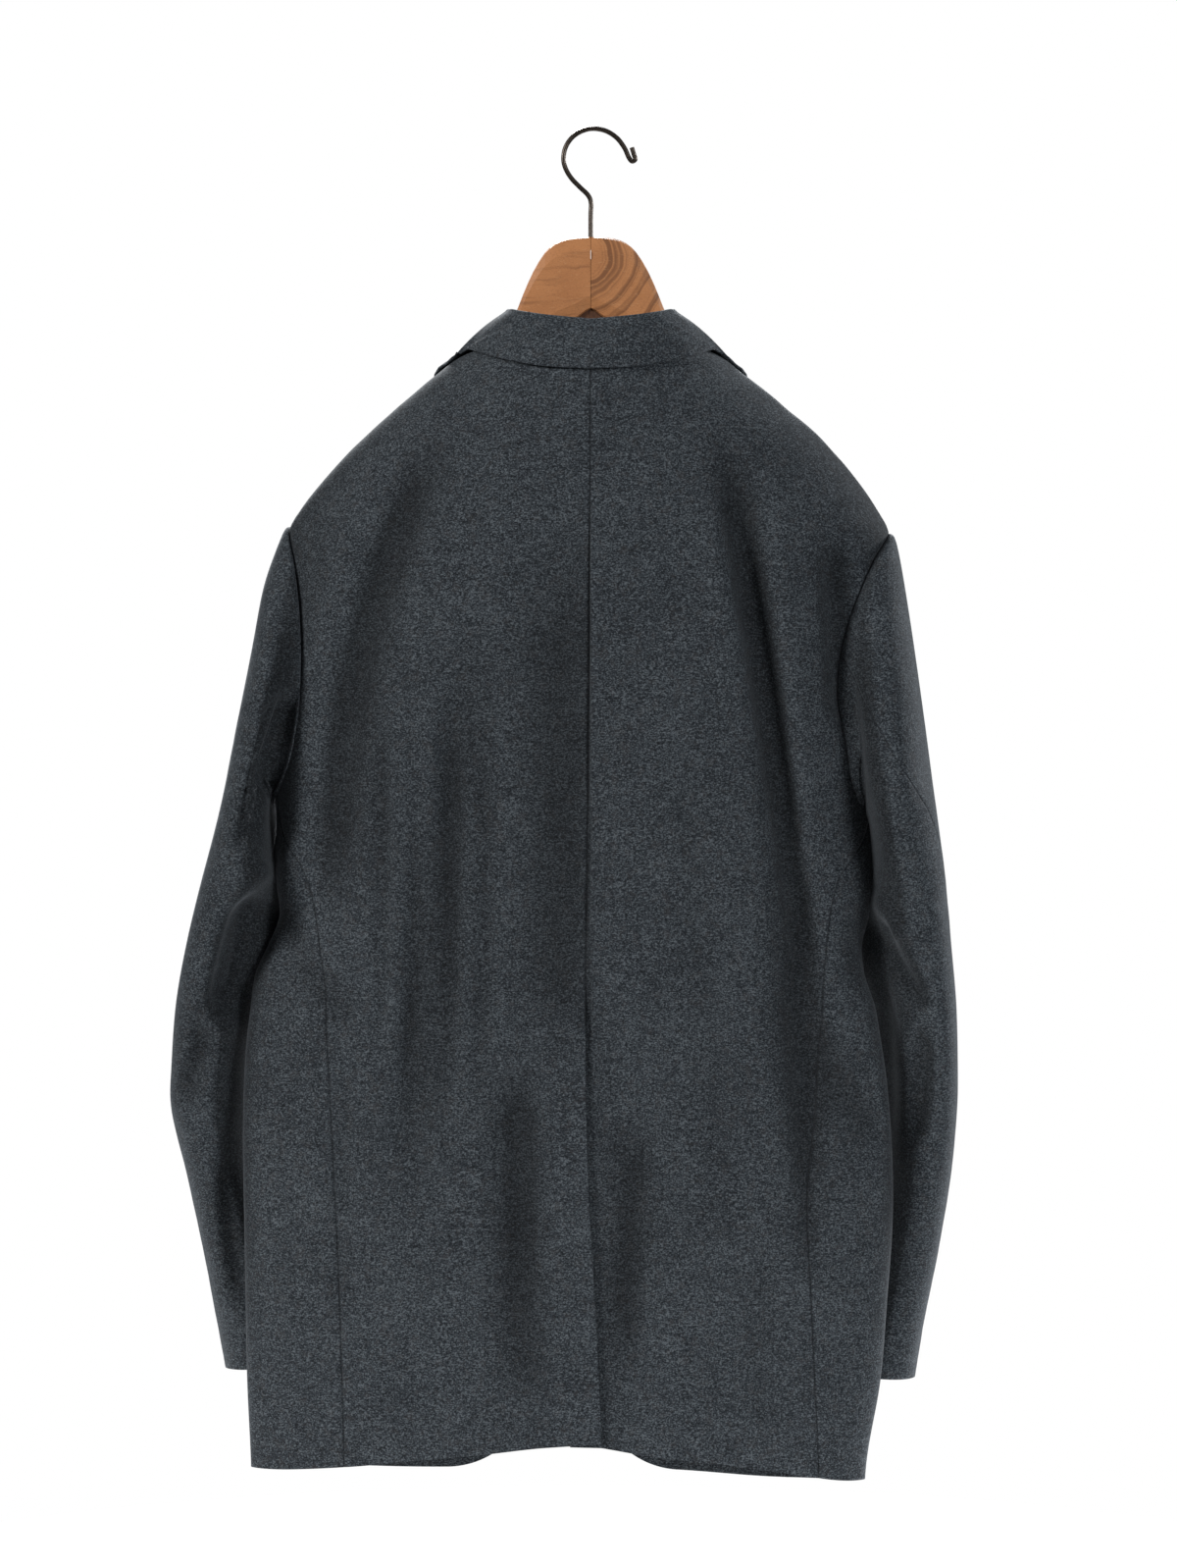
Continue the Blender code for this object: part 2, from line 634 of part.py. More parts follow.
def front_edge(side, z):
    x = section("middle", z) + side * read(ROLL, ROLL_COLUMNS, "z", "gap", z)
    angle = angle_before(side, x, z)
    return np.where(z >= NECK_POINT[side][1] - 1e-6, math.pi / 2, angle)


def front_domain(side):
    low = hem_corner(side, front_seam)
    under = armhole(side, 360 - FRONT_TURN[side])[1]
    split = LOW_ROWS / ROWS
    nx, nz = NECK_POINT[side]

    def outer(v):
        z = low + (under - low) * np.clip(v / split, 0, 1)
        turn = 360 - FRONT_TURN[side] * np.clip((1 - v) / (1 - split), 0, 1)
        arm_a, arm_z = armhole(side, turn)
        low_part = v <= split + 1e-9
        return np.where(low_part, front_seam(side, z), arm_a), np.where(low_part, z, arm_z)

    foot = float(hem(side, np.radians(172.0)))  # height of the hem under the front edge

    def corner(t):
        """Round the front's corner: t 0 on the hem, 1 on the edge, as (x, z)."""
        turn = t * math.pi / 2
        x_edge = section("middle", foot + CORNER) + side * read(ROLL, ROLL_COLUMNS, "z", "gap", foot + CORNER)
        return x_edge + side * CORNER * (1 - np.sin(turn)), foot + CORNER * (1 - np.cos(turn))

    corner_rows = 2

    def inner(v):
        k = v * ROWS
        t = 0.5 + 0.5 * np.clip(k / corner_rows, 0, 1)
        cx, cz = corner(t)
        z = foot + CORNER + (nz - foot - CORNER) * np.clip((k - corner_rows) / (ROWS - corner_rows), 0, 1)
        in_corner = k <= corner_rows + 1e-9
        return np.where(in_corner, angle_before(side, cx, cz), front_edge(side, z)), np.where(in_corner, cz, z)

    corner_columns = 3
    start, stop = float(front_seam(side, np.array(low))), float(angle_before(side, *corner(0.0)))

    def bottom(u):
        k = u * RIDGE_COLUMNS
        t = 0.5 * np.clip((k - RIDGE_COLUMNS + corner_columns) / corner_columns, 0, 1)
        cx, cz = corner(t)
        a = start + (stop - start) * np.clip(k / (RIDGE_COLUMNS - corner_columns), 0, 1)
        ease = np.clip(k / (RIDGE_COLUMNS - corner_columns), 0, 1) ** 2
        z = hem(side, a) * (1 - ease) + foot * ease
        in_corner = k >= RIDGE_COLUMNS - corner_columns - 1e-9
        return np.where(in_corner, angle_before(side, cx, cz), a), np.where(in_corner, cz, z)

    def top(u):
        return np.full(u.shape, math.pi / 2), SHOULDER_TIP[side] + (nz - SHOULDER_TIP[side]) * u

    return outer, inner, bottom, top


def fronts():
    for side, name in ((1, "front_left"), (-1, "front_right")):
        domain = in_x(side, front_domain(side), RIDGE_COLUMNS, ROWS, angle_before)
        body_panel(name, side, domain, ("u0", "u1", "v1"))


def grid_out(points, first):
    """Directions out of a grid of points, with the first column's given."""
    du, dv = np.gradient(points, axis=0), np.gradient(points, axis=1)
    out = np.cross(du, dv)
    out /= np.linalg.norm(out, axis=-1, keepdims=True)
    if (out[:, 1] * first).sum() < 0:
        out = -out
    out[:, 0] = first
    return out


def edge_levels(side):
    """Heights of the corners up a front's edge, from the neck point down."""
    _, z = front_domain(side)[1](np.linspace(0, 1, ROWS + 1))
    return z[::-1]


def edge_chain(side, z):
    """Points on the straight runs between a front's edge corners, with the ways out of the edge and of the cloth."""
    levels = edge_levels(side)
    a = front_edge(side, levels)
    p, out = body(side, a, levels), across(body, side, a, levels)
    order = np.argsort(levels)
    p, out = (np.stack([np.interp(z, levels[order], v[order, k]) for k in range(3)], -1) for v in (p, out))
    out /= np.linalg.norm(out, axis=-1, keepdims=True)
    u = np.cross(out, np.gradient(p, axis=0))
    u /= np.linalg.norm(u, axis=-1, keepdims=True)
    return p, u * np.sign(-side * u[:, :1]), out


def lapels():
    for side, name in ((1, "lapel_left"), (-1, "lapel_right")):
        top = edge_levels(side)[GORGE_NODE] - 1.8
        z = np.linspace(top, LAPEL_END, LAPEL_ROWS)
        p, u, out = edge_chain(side, z)
        drop = (top - z) / (top - LAPEL_END)
        r = (4.8 - 2.0 * drop)[:, None]
        lift = r - WALL
        start = p + u * (HALF_GAP + 0.05)
        rolls = []
        for turn in np.radians(np.linspace(-90, 90, 6)):
            rolls.append(start + lift * out + r * (math.cos(turn) * u + math.sin(turn) * out))
        reach = read(LAPELS, LAPEL_COLUMNS, "z", "reach", z)
        tilt = -0.07 + 0.16 * smooth(drop / 0.2)
        over = []
        for t in (0.12, 0.26, 0.42, 0.6, 0.8, 1.0):
            x, zz = p[:, 0] + side * reach * t, z + reach * t * tilt
            a = angle_before(side, x, zz)
            base, up = body(side, a, zz), across(body, side, a, zz)
            height = (2 * r[:, 0] - WALL) * (1 - t) ** 1.5 + (WALL + 1.3) * (1 - (1 - t) ** 1.5) + 2.0 * t * (1 - t)
            over.append(base + up * height[:, None])
        points = np.stack(rolls + over, axis=1)
        wall(name, points, grid_out(points, -out))


def collar_chain(side):
    """The neck edge from centre back to the gorge: points, edge directions, cloth directions, stations."""
    back = back_domain(side)[3]
    u = np.linspace(0, NECK_COLUMNS / BACK_COLUMNS, NECK_COLUMNS + 1)
    a, z = back(u)
    front_z = edge_levels(side)[1 : GORGE_NODE + 1]
    front_a = front_edge(side, front_z)
    angle, height = np.concatenate([a, front_a]), np.concatenate([z, front_z])
    p, out = body(side, angle, height), across(body, side, angle, height)
    station = np.concatenate([np.linspace(0, 0.6, NECK_COLUMNS + 1), 0.6 + 0.4 * (NECK_POINT[side][1] - front_z) / (NECK_POINT[side][1] - front_z[-1])])
    return p, out, station


def collar():
    left, right = collar_chain(1), collar_chain(-1)
    p = np.concatenate([left[0][::-1], right[0][1:]])
    out = np.concatenate([left[1][::-1], right[1][1:]])
    station = np.concatenate([left[2][::-1], -right[2][1:]])
    fine = np.concatenate([np.linspace(i, i + 1, 3)[:2] if abs(station[i]) >= 0.6 or abs(station[i + 1]) > 0.6 else [float(i)] for i in range(len(p) - 1)] + [[len(p) - 1.0]])
    at = lambda values: np.stack([np.interp(fine, np.arange(len(p)), values[:, k]) for k in range(3)], -1)
    p, out, station = at(p), at(out), np.interp(fine, np.arange(len(station)), station)
    out /= np.linalg.norm(out, axis=-1, keepdims=True)
    along = np.gradient(p, axis=0)
    u = np.cross(along, out)
    u /= np.linalg.norm(u, axis=-1, keepdims=True)
    if u[len(p) // 2, 2] < 0:
        u = -u
    side = np.sign(station + 1e-9)
    far = np.abs(station)
    table = lambda name: read(COLLAR, COLLAR_COLUMNS, "station", name, far)
    top = np.stack([side * table("top_x") + 1.0, table("top_y"), table("top_z")], -1)
    ex, ez = side * table("edge_x") + 1.0, table("edge_z")
    rim = np.empty_like(p)
    for k in range(len(p)):
        s = int(side[k])
        before = far[k] > 0.6 + 1e-6
        a = (angle_before if before else angle_behind)(s, ex[k], ez[k])
        rim[k] = body(s, a, ez[k]) + across(body, s, a, ez[k]) * (WALL + 1.2)
    start = p + u * (HALF_GAP + 0.15) - out * WALL
    flat = rim - top
    flat[:, 2] = 0
    flat /= np.linalg.norm(flat, axis=-1, keepdims=True)
    down = np.array([0, 0, 1.0])
    inner, outer = top - flat * 3.0 - down * 2.2, top + flat * 3.0 - down * 2.2
    stand = [start, start * 0.66 + inner * 0.34, start * 0.33 + inner * 0.67, inner, top, outer]
    fall = []
    for t in (0.28, 0.52, 0.76, 1.0):
        bulge = 2.6 * math.sin(math.pi * min(t, 0.98)) ** 0.8
        fall.append(outer * (1 - t) + rim * t + (flat * 0.75 + down * 0.5) * bulge)
    for q in fall + [outer]:
        for k in range(len(p)):
            s = 1 if q[k, 0] > 1.2 else -1
            for angle_of in (angle_behind, angle_before):
                if (angle_of is angle_before) != (far[k] > 0.6) and not 0.5 < far[k] < 0.75:
                    continue
                a = angle_of(s, q[k, 0], q[k, 2])
                base, up = body(s, a, q[k, 2]), across(body, s, a, q[k, 2])
                q[k] += up * max(0.0, WALL + 1.0 - float((q[k] - base) @ up))
    points = np.stack(stand + fall, axis=1)
    wall("collar", points, grid_out(points, -out))


def armhole_turns(side):
    """Turns of the corners round the armhole, shared with the panels it is cut from."""
    a, b = SIDE_TURN[side], 360 - FRONT_TURN[side]
    return np.concatenate([np.linspace(0, a, ARM_ROWS + 1), np.linspace(a, b, UNDER_COLUMNS + 1)[1:], np.linspace(b, 360, ARM_ROWS + 1)[1:]])


def armhole_ring(side, turn):
    """Points just inside the armhole's edge, the body's direction out there, and the way into the armhole."""
    step = 0.5

    def at(t):
        a, z = armhole(side, np.mod(t, 360.0))
        return body(side, a, z)

    a, z = armhole(side, np.mod(turn, 360.0))
    out = across(body, side, a, z)
    along = at(turn + step) - at(turn - step)
    u = np.cross(out, along)
    u /= np.linalg.norm(u, axis=-1, keepdims=True)
    p = at(turn)
    a0, z0 = armhole(side, np.array([0.0, 90.0, 180.0, 270.0]))
    middle = body(side, a0, z0).mean(0)
    u *= np.sign((u * (middle - p)).sum(-1, keepdims=True))
    return p + u * (HALF_GAP + 0.05), out, u


def guide(side, f, name):
    """One column of a sleeve's sections, at a fractional section; section 0 is the armhole."""
    a, z = armhole(side, np.array([0.0, 90.0, 180.0, 270.0]))
    ring = body(side, a, z)
    first = {
        "out_x": ring[0, 0], "out_z": ring[0, 2], "in_x": ring[2, 0], "in_z": ring[2, 2],
        "back_x": ring[1, 0], "back_y": ring[1, 1], "front_x": ring[3, 0], "front_y": ring[3, 1],
    }[name]
    k = SLEEVE_COLUMNS.index(name)
    rows = [(0.0, first)] + [(i + 1.0, row[k]) for i, row in enumerate(SLEEVES[side])]
    return read(rows, ("row", "value"), "row", "value", f)


def tube(side, f, turn):
    """The plain sleeve: f counts sections from the armhole, turn as round the armhole."""
    f, turn = np.broadcast_arrays(np.asarray(f, float), np.asarray(turn, float))
    g = {name: guide(side, f, name) for name in SLEEVE_COLUMNS}
    mid_y, mid_z = (g["back_y"] + g["front_y"]) / 2, (g["out_z"] + g["in_z"]) / 2
    o = np.stack([g["out_x"], mid_y, g["out_z"]], -1)
    i = np.stack([g["in_x"], mid_y, g["in_z"]], -1)
    b = np.stack([g["back_x"], g["back_y"], mid_z], -1)
    r = np.stack([g["front_x"], g["front_y"], mid_z], -1)
    t = np.radians(turn)
    full = 2.3
    k = (np.abs(np.cos(t)) ** full + np.abs(np.sin(t)) ** full) ** (-1 / full)
    c, s = (np.cos(t) * k)[..., None], (np.sin(t) * k)[..., None]
    return (o + i + b + r) / 4 + c * (o - i) / 2 + s * (b - r) / 2 + np.cos(2 * t)[..., None] * ((o + i) - (b + r)) / 4


def sleeve(side, f, turn):
    """The sleeve with its folds, starting exactly from the armhole."""
    f, turn = np.broadcast_arrays(np.asarray(f, float), np.asarray(turn, float))
    p = tube(side, f, turn)
    ring = armhole_ring(side, turn)[0]
    p = p + (ring - tube(side, np.zeros(f.shape), turn)) * (1 - smooth(f / 3.0))[..., None]
    facing = across_sleeve(tube, side, f, turn)
    lift = folded(SLEEVE_FOLDS, p[..., 0], p[..., 2]) * smooth(facing[..., 1] / 0.35) * smooth(f / 2.0)
    return p + facing * lift[..., None]


def across_sleeve(surface, side, f, turn):
    top = np.minimum(f + 0.04, len(SLEEVES[side]))
    low = np.maximum(f - 0.04, 0.0)
    down = surface(side, top, turn) - surface(side, low, turn)
    along = surface(side, f, turn + 0.6) - surface(side, f, turn - 0.6)
    out = np.cross(down, along) * side
    out /= np.maximum(np.linalg.norm(out, axis=-1, keepdims=True), 1e-9)
    return out


def sleeves():
    for side, word in ((1, "left"), (-1, "right")):
        turns = armhole_turns(side)
        last = len(SLEEVES[side])
        f = np.concatenate([[0.0, 0.5], np.arange(1.0, last + 0.5, 0.75)])
        f = np.append(f[f < last - 0.3], last)
        fore = UNDER_COLUMNS + ARM_ROWS
        hind = np.interp(f, np.arange(last + 1), HIND_TURNS[side])
        front = turns[fore] + (FORE_TURN - turns[fore]) * smooth(f / 4.0)
        ease = smooth(f / 2.5)[:, None]

        def spread(nodes, start, stop):
            """Ring 0 keeps the armhole's corners; further down they space out evenly."""
            share = (nodes - nodes[0]) / (nodes[-1] - nodes[0])
            even = np.linspace(0, 1, len(nodes))
            mix = share[None] * (1 - ease) + even[None] * ease
            return start[:, None] + (stop - start)[:, None] * mix

        under = spread(turns[HIND_NODE : fore + 1], hind, front)
        over_nodes = np.concatenate([turns[fore:], turns[1 : HIND_NODE + 1] + 360])
        over = spread(over_nodes, front, hind + 360)
        for name, columns in ((f"top_sleeve_{word}", over), (f"under_sleeve_{word}", under)):
            ff = np.broadcast_to(f[:, None], columns.shape)
            points = sleeve(side, ff, columns)
            out = across_sleeve(sleeve, side, ff, columns)
            _, ring_out, into = armhole_ring(side, columns[0])
            hollow = np.clip(-2.0 * (out[0] * into).sum(-1), 0.0, 0.9)[:, None]
            out[0] = ring_out * (1 - hollow) + out[0] * hollow
            out[0] /= np.linalg.norm(out[0], axis=-1, keepdims=True)
            wall(name, draw_back(points, ("v0", "v1"), HALF_GAP + 0.75 * (1 - smooth(f / 3.0))), out)


def buttons():
    for name, z in zip(("button_top", "button_low"), BUTTON_Z):
        x = section("middle", z) - read(ROLL, ROLL_COLUMNS, "z", "gap", z) - 17.0
        a = angle_before(-1, x, z)
        p, out = body(-1, a, np.array(z)), across(body, -1, a, np.array(z))

        def build(bm):
            bmesh.ops.create_cone(bm, cap_ends=True, segments=28, radius1=BUTTON_WIDTH / 2, radius2=BUTTON_WIDTH / 2, depth=3.6)
            rims = [e for e in bm.edges if len(e.link_faces) == 2 and any(len(f.verts) > 4 for f in e.link_faces)]
            bmesh.ops.bevel(bm, geom=rims, offset=1.0, offset_type="OFFSET", segments=2, profile=0.5, affect="EDGES", material=-1)
            turn = mathutils.Vector((0, 0, 1)).rotation_difference(mathutils.Vector(out)).to_matrix()
            place = p + out * (0.5 + 1.8)
            for v in bm.verts:
                v.co = turn @ v.co + mathutils.Vector(place)

        mesh_object(name, build, HORN_COLOUR, 0.35)


def hanger():
    cutter_mesh = bpy.data.meshes.new("hook_bore")
    bm = bmesh.new()
    bmesh.ops.create_cone(bm, cap_ends=True, segments=24, radius1=0.00207, radius2=0.00207, depth=0.030)
    bm.to_mesh(cutter_mesh)
    bm.free()
    cutter = bpy.data.objects.new("hook_bore", cutter_mesh)
    cutters.objects.link(cutter)
    cutter.location = (HOOK_PATH[0][0] * 0.001, 0.0, -0.0725)
    cutter.hide_render = True
    cutter.display_type = "WIRE"
    around = 16
    for side, name in ((1, "hanger_left"), (-1, "hanger_right")):

        def build(bm, side=side):
            rings = []
            rows = np.linspace(0, len(HANGER) - 1, 27)
            for k in rows:
                got = {c: read([(i, row[HANGER_COLUMNS.index(c)]) for i, row in enumerate(HANGER)], ("i", "v"), "i", "v", k) for c in HANGER_COLUMNS}
                ring = []
                for n in range(around):
                    t = 2 * math.pi * (n + 0.5) / around
                    w = (abs(math.cos(t)) ** 4 + abs(math.sin(t)) ** 4) ** -0.25
                    x = HOOK_PATH[0][0] + side * (HALF_GAP + got["x"])
                    y = got["y"] + math.cos(t) * w * got["thick"] / 2
                    z = (got["top"] + got["bottom"]) / 2 + math.sin(t) * w * (got["top"] - got["bottom"]) / 2
                    ring.append(bm.verts.new((x, y, z)))
                rings.append(ring)
            for one, two in zip(rings, rings[1:]):
                for n in range(around):
                    m = (n + 1) % around
                    bm.faces.new((one[n], one[m], two[m], two[n]))
            bm.faces.new(rings[0])
            bm.faces.new(rings[-1])

        obj = mesh_object(name, build, WOOD_COLOUR, 0.5)
        cut = obj.modifiers.new("bore", "BOOLEAN")
        cut.operation = "DIFFERENCE"
        cut.object = cutter


def hook():
    curve = bpy.data.curves.new("hook", "CURVE")
    curve.dimensions = "3D"
    curve.bevel_depth = WIRE / 2 * 0.001
    curve.bevel_resolution = 2
    curve.use_fill_caps = True
    spline = curve.splines.new("POLY")
    at = np.linspace(0, len(HOOK_PATH) - 1, 52)
    x = read([(i, q[0]) for i, q in enumerate(HOOK_PATH)], ("i", "v"), "i", "v", at)
    z = read([(i, q[1]) for i, q in enumerate(HOOK_PATH)], ("i", "v"), "i", "v", at)
    spline.points.add(len(at) - 1)
    for point, one, two in zip(spline.points, x, z):
        point.co = (one * 0.001, 0.0, two * 0.001, 1.0)
    obj = bpy.data.objects.new("hook", curve)
    collection.objects.link(obj)
    material = bpy.data.materials.new("hook")
    material.use_nodes = True
    shader = material.node_tree.nodes["Principled BSDF"]
    shader.inputs["Base Color"].default_value = METAL_COLOUR
    shader.inputs["Roughness"].default_value = 0.38
    shader.inputs["Metallic"].default_value = 0.9
    material.diffuse_color = METAL_COLOUR
    curve.materials.append(material)


def build_all():
    backs()
    sides()
    fronts()
    lapels()
    collar()
    sleeves()
    buttons()
    hanger()
    hook()


for old in list(bpy.data.objects):
    bpy.data.objects.remove(old, do_unlink=True)
collection = bpy.data.collections.new("tailored_jacket")
bpy.context.scene.collection.children.link(collection)
cutters = bpy.data.collections.new("cutters")
bpy.context.scene.collection.children.link(cutters)
build_all()
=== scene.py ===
"""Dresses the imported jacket: flannel panels with their folds, wooden hanger, wire hook, horn buttons.

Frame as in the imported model: +Z up, the wearer's left is +X, the back faces +Y and the
origin is the top of the hook's inside. Shapes are worked out in millimetres.

Every body panel is laid on one smooth torso, named by side (+1 the wearer's left, -1 the
right), by the angle round the body (0 centre back, 90 the side, 180 centre front) and by
height, and then lifted and sunk by the rows of FOLDS and CREASES.
"""

import math

import bmesh
import bpy
import numpy as np
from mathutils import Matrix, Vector


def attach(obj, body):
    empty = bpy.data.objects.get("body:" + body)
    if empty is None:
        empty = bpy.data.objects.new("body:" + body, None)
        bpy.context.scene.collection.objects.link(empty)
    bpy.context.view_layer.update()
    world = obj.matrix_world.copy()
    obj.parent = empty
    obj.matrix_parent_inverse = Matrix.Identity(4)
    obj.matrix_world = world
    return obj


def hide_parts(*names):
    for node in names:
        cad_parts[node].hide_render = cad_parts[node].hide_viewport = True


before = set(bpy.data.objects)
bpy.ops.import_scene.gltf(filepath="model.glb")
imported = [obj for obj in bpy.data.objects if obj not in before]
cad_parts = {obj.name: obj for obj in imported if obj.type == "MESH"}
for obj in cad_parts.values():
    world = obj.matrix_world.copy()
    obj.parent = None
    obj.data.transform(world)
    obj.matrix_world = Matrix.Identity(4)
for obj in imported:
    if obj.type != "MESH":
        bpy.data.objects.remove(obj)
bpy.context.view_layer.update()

MM = 0.001

WALL = 1.6  # cloth, two layers pressed together
HALF_GAP = -0.25  # each edge at a seam runs this far under its neighbour
WIRE = 3.5
LOW_ROWS, ARM_ROWS = 14, 10  # the solids' rows: hem to underarm, underarm to shoulder tip
UNDER_COLUMNS, RIDGE_COLUMNS, NECK_COLUMNS = 8, 11, 6
BACK_COLUMNS = NECK_COLUMNS + RIDGE_COLUMNS
ROWS = LOW_ROWS + ARM_ROWS
SPLIT = LOW_ROWS / ROWS  # how far up a panel its armhole starts
CORNER_ROWS, CORNER_COLUMNS = 2, 3  # those in a front's rounded corner
NECK_STATION = 0.6  # where the shoulder meets the neck, on the collar's way from centre back to gorge

DIP = (0.6, 1.1)  # how far the cloth sinks along a seam, and how wide
RIDGE = (0.15, 2.6, 8.0)  # how far it rises beside it, how wide, and how far off
GROOVE = 0.9  # how wide the painted shade along a seam's groove is
PUCKER_REACH = 9.0
DEEP_IN_BODY, DEEP_IN_SLEEVE = 6.5, 10.0  # a fold sunk this far gets the full painted shade

EDGE_COLUMNS = ("z", "left", "right")
EDGES = (  # how far the body reaches to each side, read at the outline
    (-1010, 245, -195),
    (-963, 245.7, -197),
    (-900, 248.5, -207.5),
    (-845, 249.5, -212),
    (-786, 250.5, -216),
    (-710, 251.3, -214),
    (-672, 250, -210),
    (-634, 246, -202),
    (-609, 240, -190),
    (-590, 230, -187),
    (-567, 221.5, -192),
    (-545, 224, -197.5),
    (-513, 227.5, -196.5),
    (-480, 229, -197),
    (-450, 228, -200),
    (-400, 227, -205),
    (-350, 226.5, -210),
    (-315, 225, -214),
    (-290, 221, -214.8),
    (-274, 211.5, -206.6),
    (-260, 201, -197.4),
    (-246, 189, -186.7),
    (-232, 176, -174.7),
    (-217, 160.5, -160.5),
    (-203, 144.8, -143.4),
    (-189, 128.5, -127),
    (-175, 111.5, -108.6),
    (-164, 96.5, -94),
    (-157, 82, -80.5),
    (-150, 66, -65),
    (-140, 48, -47),
    (-120, 30, -30),
)
SECTION_COLUMNS = ("z", "seam", "middle", "back", "side", "front", "back_p", "back_q", "front_p", "front_q")
SECTIONS = (  # centre back x, centre front x, then the depths and roundness
    (-1010, -8, 22, 66, 17, -62, 2.6, 0.50, 2.1, 0.66),
    (-950, -6.6, 21, 66, 18, -62, 2.6, 0.50, 2.1, 0.66),
    (-850, -2, 20, 65, 19, -64, 2.6, 0.50, 2.1, 0.66),
    (-750, 3.4, 18, 64, 20, -67, 2.6, 0.50, 2.1, 0.66),
    (-640, 5.3, 16, 64, 17, -71, 2.6, 0.50, 2.1, 0.64),
    (-560, 4.6, 14, 66, 8, -75, 2.6, 0.50, 2.2, 0.58),
    (-480, 3.6, 12, 70, 0, -79, 2.6, 0.50, 2.4, 0.52),
    (-400, 2.8, 10, 73, -3, -81, 2.6, 0.50, 2.5, 0.50),
    (-340, 2.3, 8, 74, -4, -81, 2.5, 0.53, 2.4, 0.53),
    (-290, 2, 6, 72, -4, -78, 2.3, 0.58, 2.2, 0.58),
    (-245, 1.7, 4, 68, -3, -72, 2.1, 0.63, 2.1, 0.63),
    (-203, 1.5, 3, 61, -2, -63, 2, 0.66, 2, 0.66),
    (-175, 1.4, 2, 55, -1, -54, 2, 0.66, 2, 0.66),
    (-153, 1.3, 1, 49, 0, -45, 2, 0.64, 2, 0.64),
    (-120, 1.2, 0, 40, 0, -34, 2, 0.62, 2, 0.62),
)
FOLDS = (  # x, z of start, bend and end as seen from behind, width, height; under 0 it is a valley
    (100, -206, 190, -370, 186, -600, 17, -9),
    (128, -215, 226, -370, 205, -560, 18, 4),
    (74, -330, 120, -560, 128, -800, 17, -3.5),
    (96, -340, 152, -560, 156, -820, 15, 3),
    (30, -300, 24, -480, 30, -700, 22, -4),
    (58, -660, 44, -780, 50, -940, 20, -5),
    (232, -560, 200, -620, 165, -645, 12, -4),
    (242, -585, 214, -560, 212, -500, 12, 4),
    (-91, -205, -141, -434, -158, -815, 16, -11),
    (-116, -250, -150, -420, -148, -600, 13, 5),
    (-174, -285, -174, -360, -186, -450, 11, -8),
    (-150, -640, -178, -690, -208, -735, 15, -5),
    (-32, -700, -28, -780, -25, -900, 15, -3.5),
)
SEAM_COLUMNS = ("z", "left", "right")
SIDE_SEAMS = (  # between back and side panel, seen from behind
    (-1000, 176, -162),
    (-952, 176.8, -161),
    (-900, 178.2, -158.5),
    (-843, 180.3, -156),
    (-760, 184, -154.5),
    (-707, 186.5, -160),
    (-662, 188.9, -163.8),
    (-603, 193.2, -166.9),
    (-560, 199.5, -170.5),
    (-527, 208, -178.8),
    (-501, 215, -188),
)
ARMHOLE_COLUMNS = ("turn", "left_back", "left_front", "right_back", "right_front")
ARMHOLES = (  # turn from shoulder tip to underarm; the angle round the body on either side of it
    (0, 90, 90, 90, 90),
    (25, 78.5, 102, 76, 103),
    (60, 68.8, 115, 64.5, 117),
    (95, 65.4, 121, 62, 123),
    (120, 67.3, 120, 65, 122),
    (145, 73, 113, 71, 116),
    (165, 81.5, 104, 80, 106),
    (180, 92, 92, 92, 92),
)
SHOULDER_TIP = {1: -286, -1: -291}
UNDERARM = {1: -482, -1: -492}
SIDE_TURN = 166.0  # where the side panel's back seam meets the armhole
FRONT_TURN = 150.0  # and its front seam
FRONT_SEAM_HEM = 131.0
HEM_COLUMNS = ("angle", "left", "right")
HEMS = (  # height of the hem round the body
    (0, -940.5, -944.5),
    (10, -943.5, -949.5),
    (20, -948.5, -953.5),
    (30, -952.5, -957),
    (43, -957.5, -962.5),
    (60, -961.5, -969),
    (90, -963.5, -972.5),
    (120, -967, -977),
    (140, -971, -979),
    (160, -974, -978),
    (180, -975, -976),
)
NECK_BACK = -163.0  # neck seam at centre back
NECK_POINT = {1: (82, -157), -1: (-80.5, -157)}
VENT_TOP = -648.0
VENT_LAP = 22.0  # how far the right back runs under the left
ROLL_COLUMNS = ("z", "gap")
ROLL = (  # half the opening between the fronts, neck to hem
    (-157, 81),
    (-175, 73),
    (-205, 64),
    (-250, 55),
    (-330, 41),
    (-420, 27),
    (-500, 15),
    (-575, 9),
    (-700, 12),
    (-820, 17),
    (-900, 22),
    (-1000, 30),
)
CORNER = 62.0  # rounded front corner
GORGE_NODE = 2  # the corner of the front's edge, counted from the neck point, where collar meets lapel
LAPEL_END = -578.0
LAPEL_COLUMNS = ("z", "reach")
LAPELS = (  # how far the lapel lies over the front, square to the roll line
    (-227, 87),
    (-245, 88),
    (-262, 85),
    (-300, 79),
    (-360, 68),
    (-430, 53),
    (-500, 35),
    (-550, 18),
    (-585, 6),
)
COLLAR_COLUMNS = ("station", "top_x", "top_y", "top_z", "edge_x", "edge_z")
COLLAR = (  # station 0 centre back, 0.6 the neck point, 1 the gorge; the fold's top, then the fall's edge
    (0, 0.3, 46, -140.5, 0.5, -178),
    (0.2, 31, 43, -137.3, 37, -175.5),
    (0.4, 51, 31, -133.2, 71, -167.5),
    (0.5, 58, 20, -131, 87, -162.5),
    (0.6, 61, 5, -132.5, 99.5, -168),
    (0.7, 61.5, -29, -151, 110.5, -184.5),
    (0.8, 61.5, -50, -177, 118, -204),
    (0.9, 60, -64, -200, 122, -216),
    (1, 57.5, -71.5, -220.6, 119, -227),
)
SLEEVE_COLUMNS = ("out_x", "out_z", "in_x", "in_z", "back_x", "back_y", "front_x", "front_y")
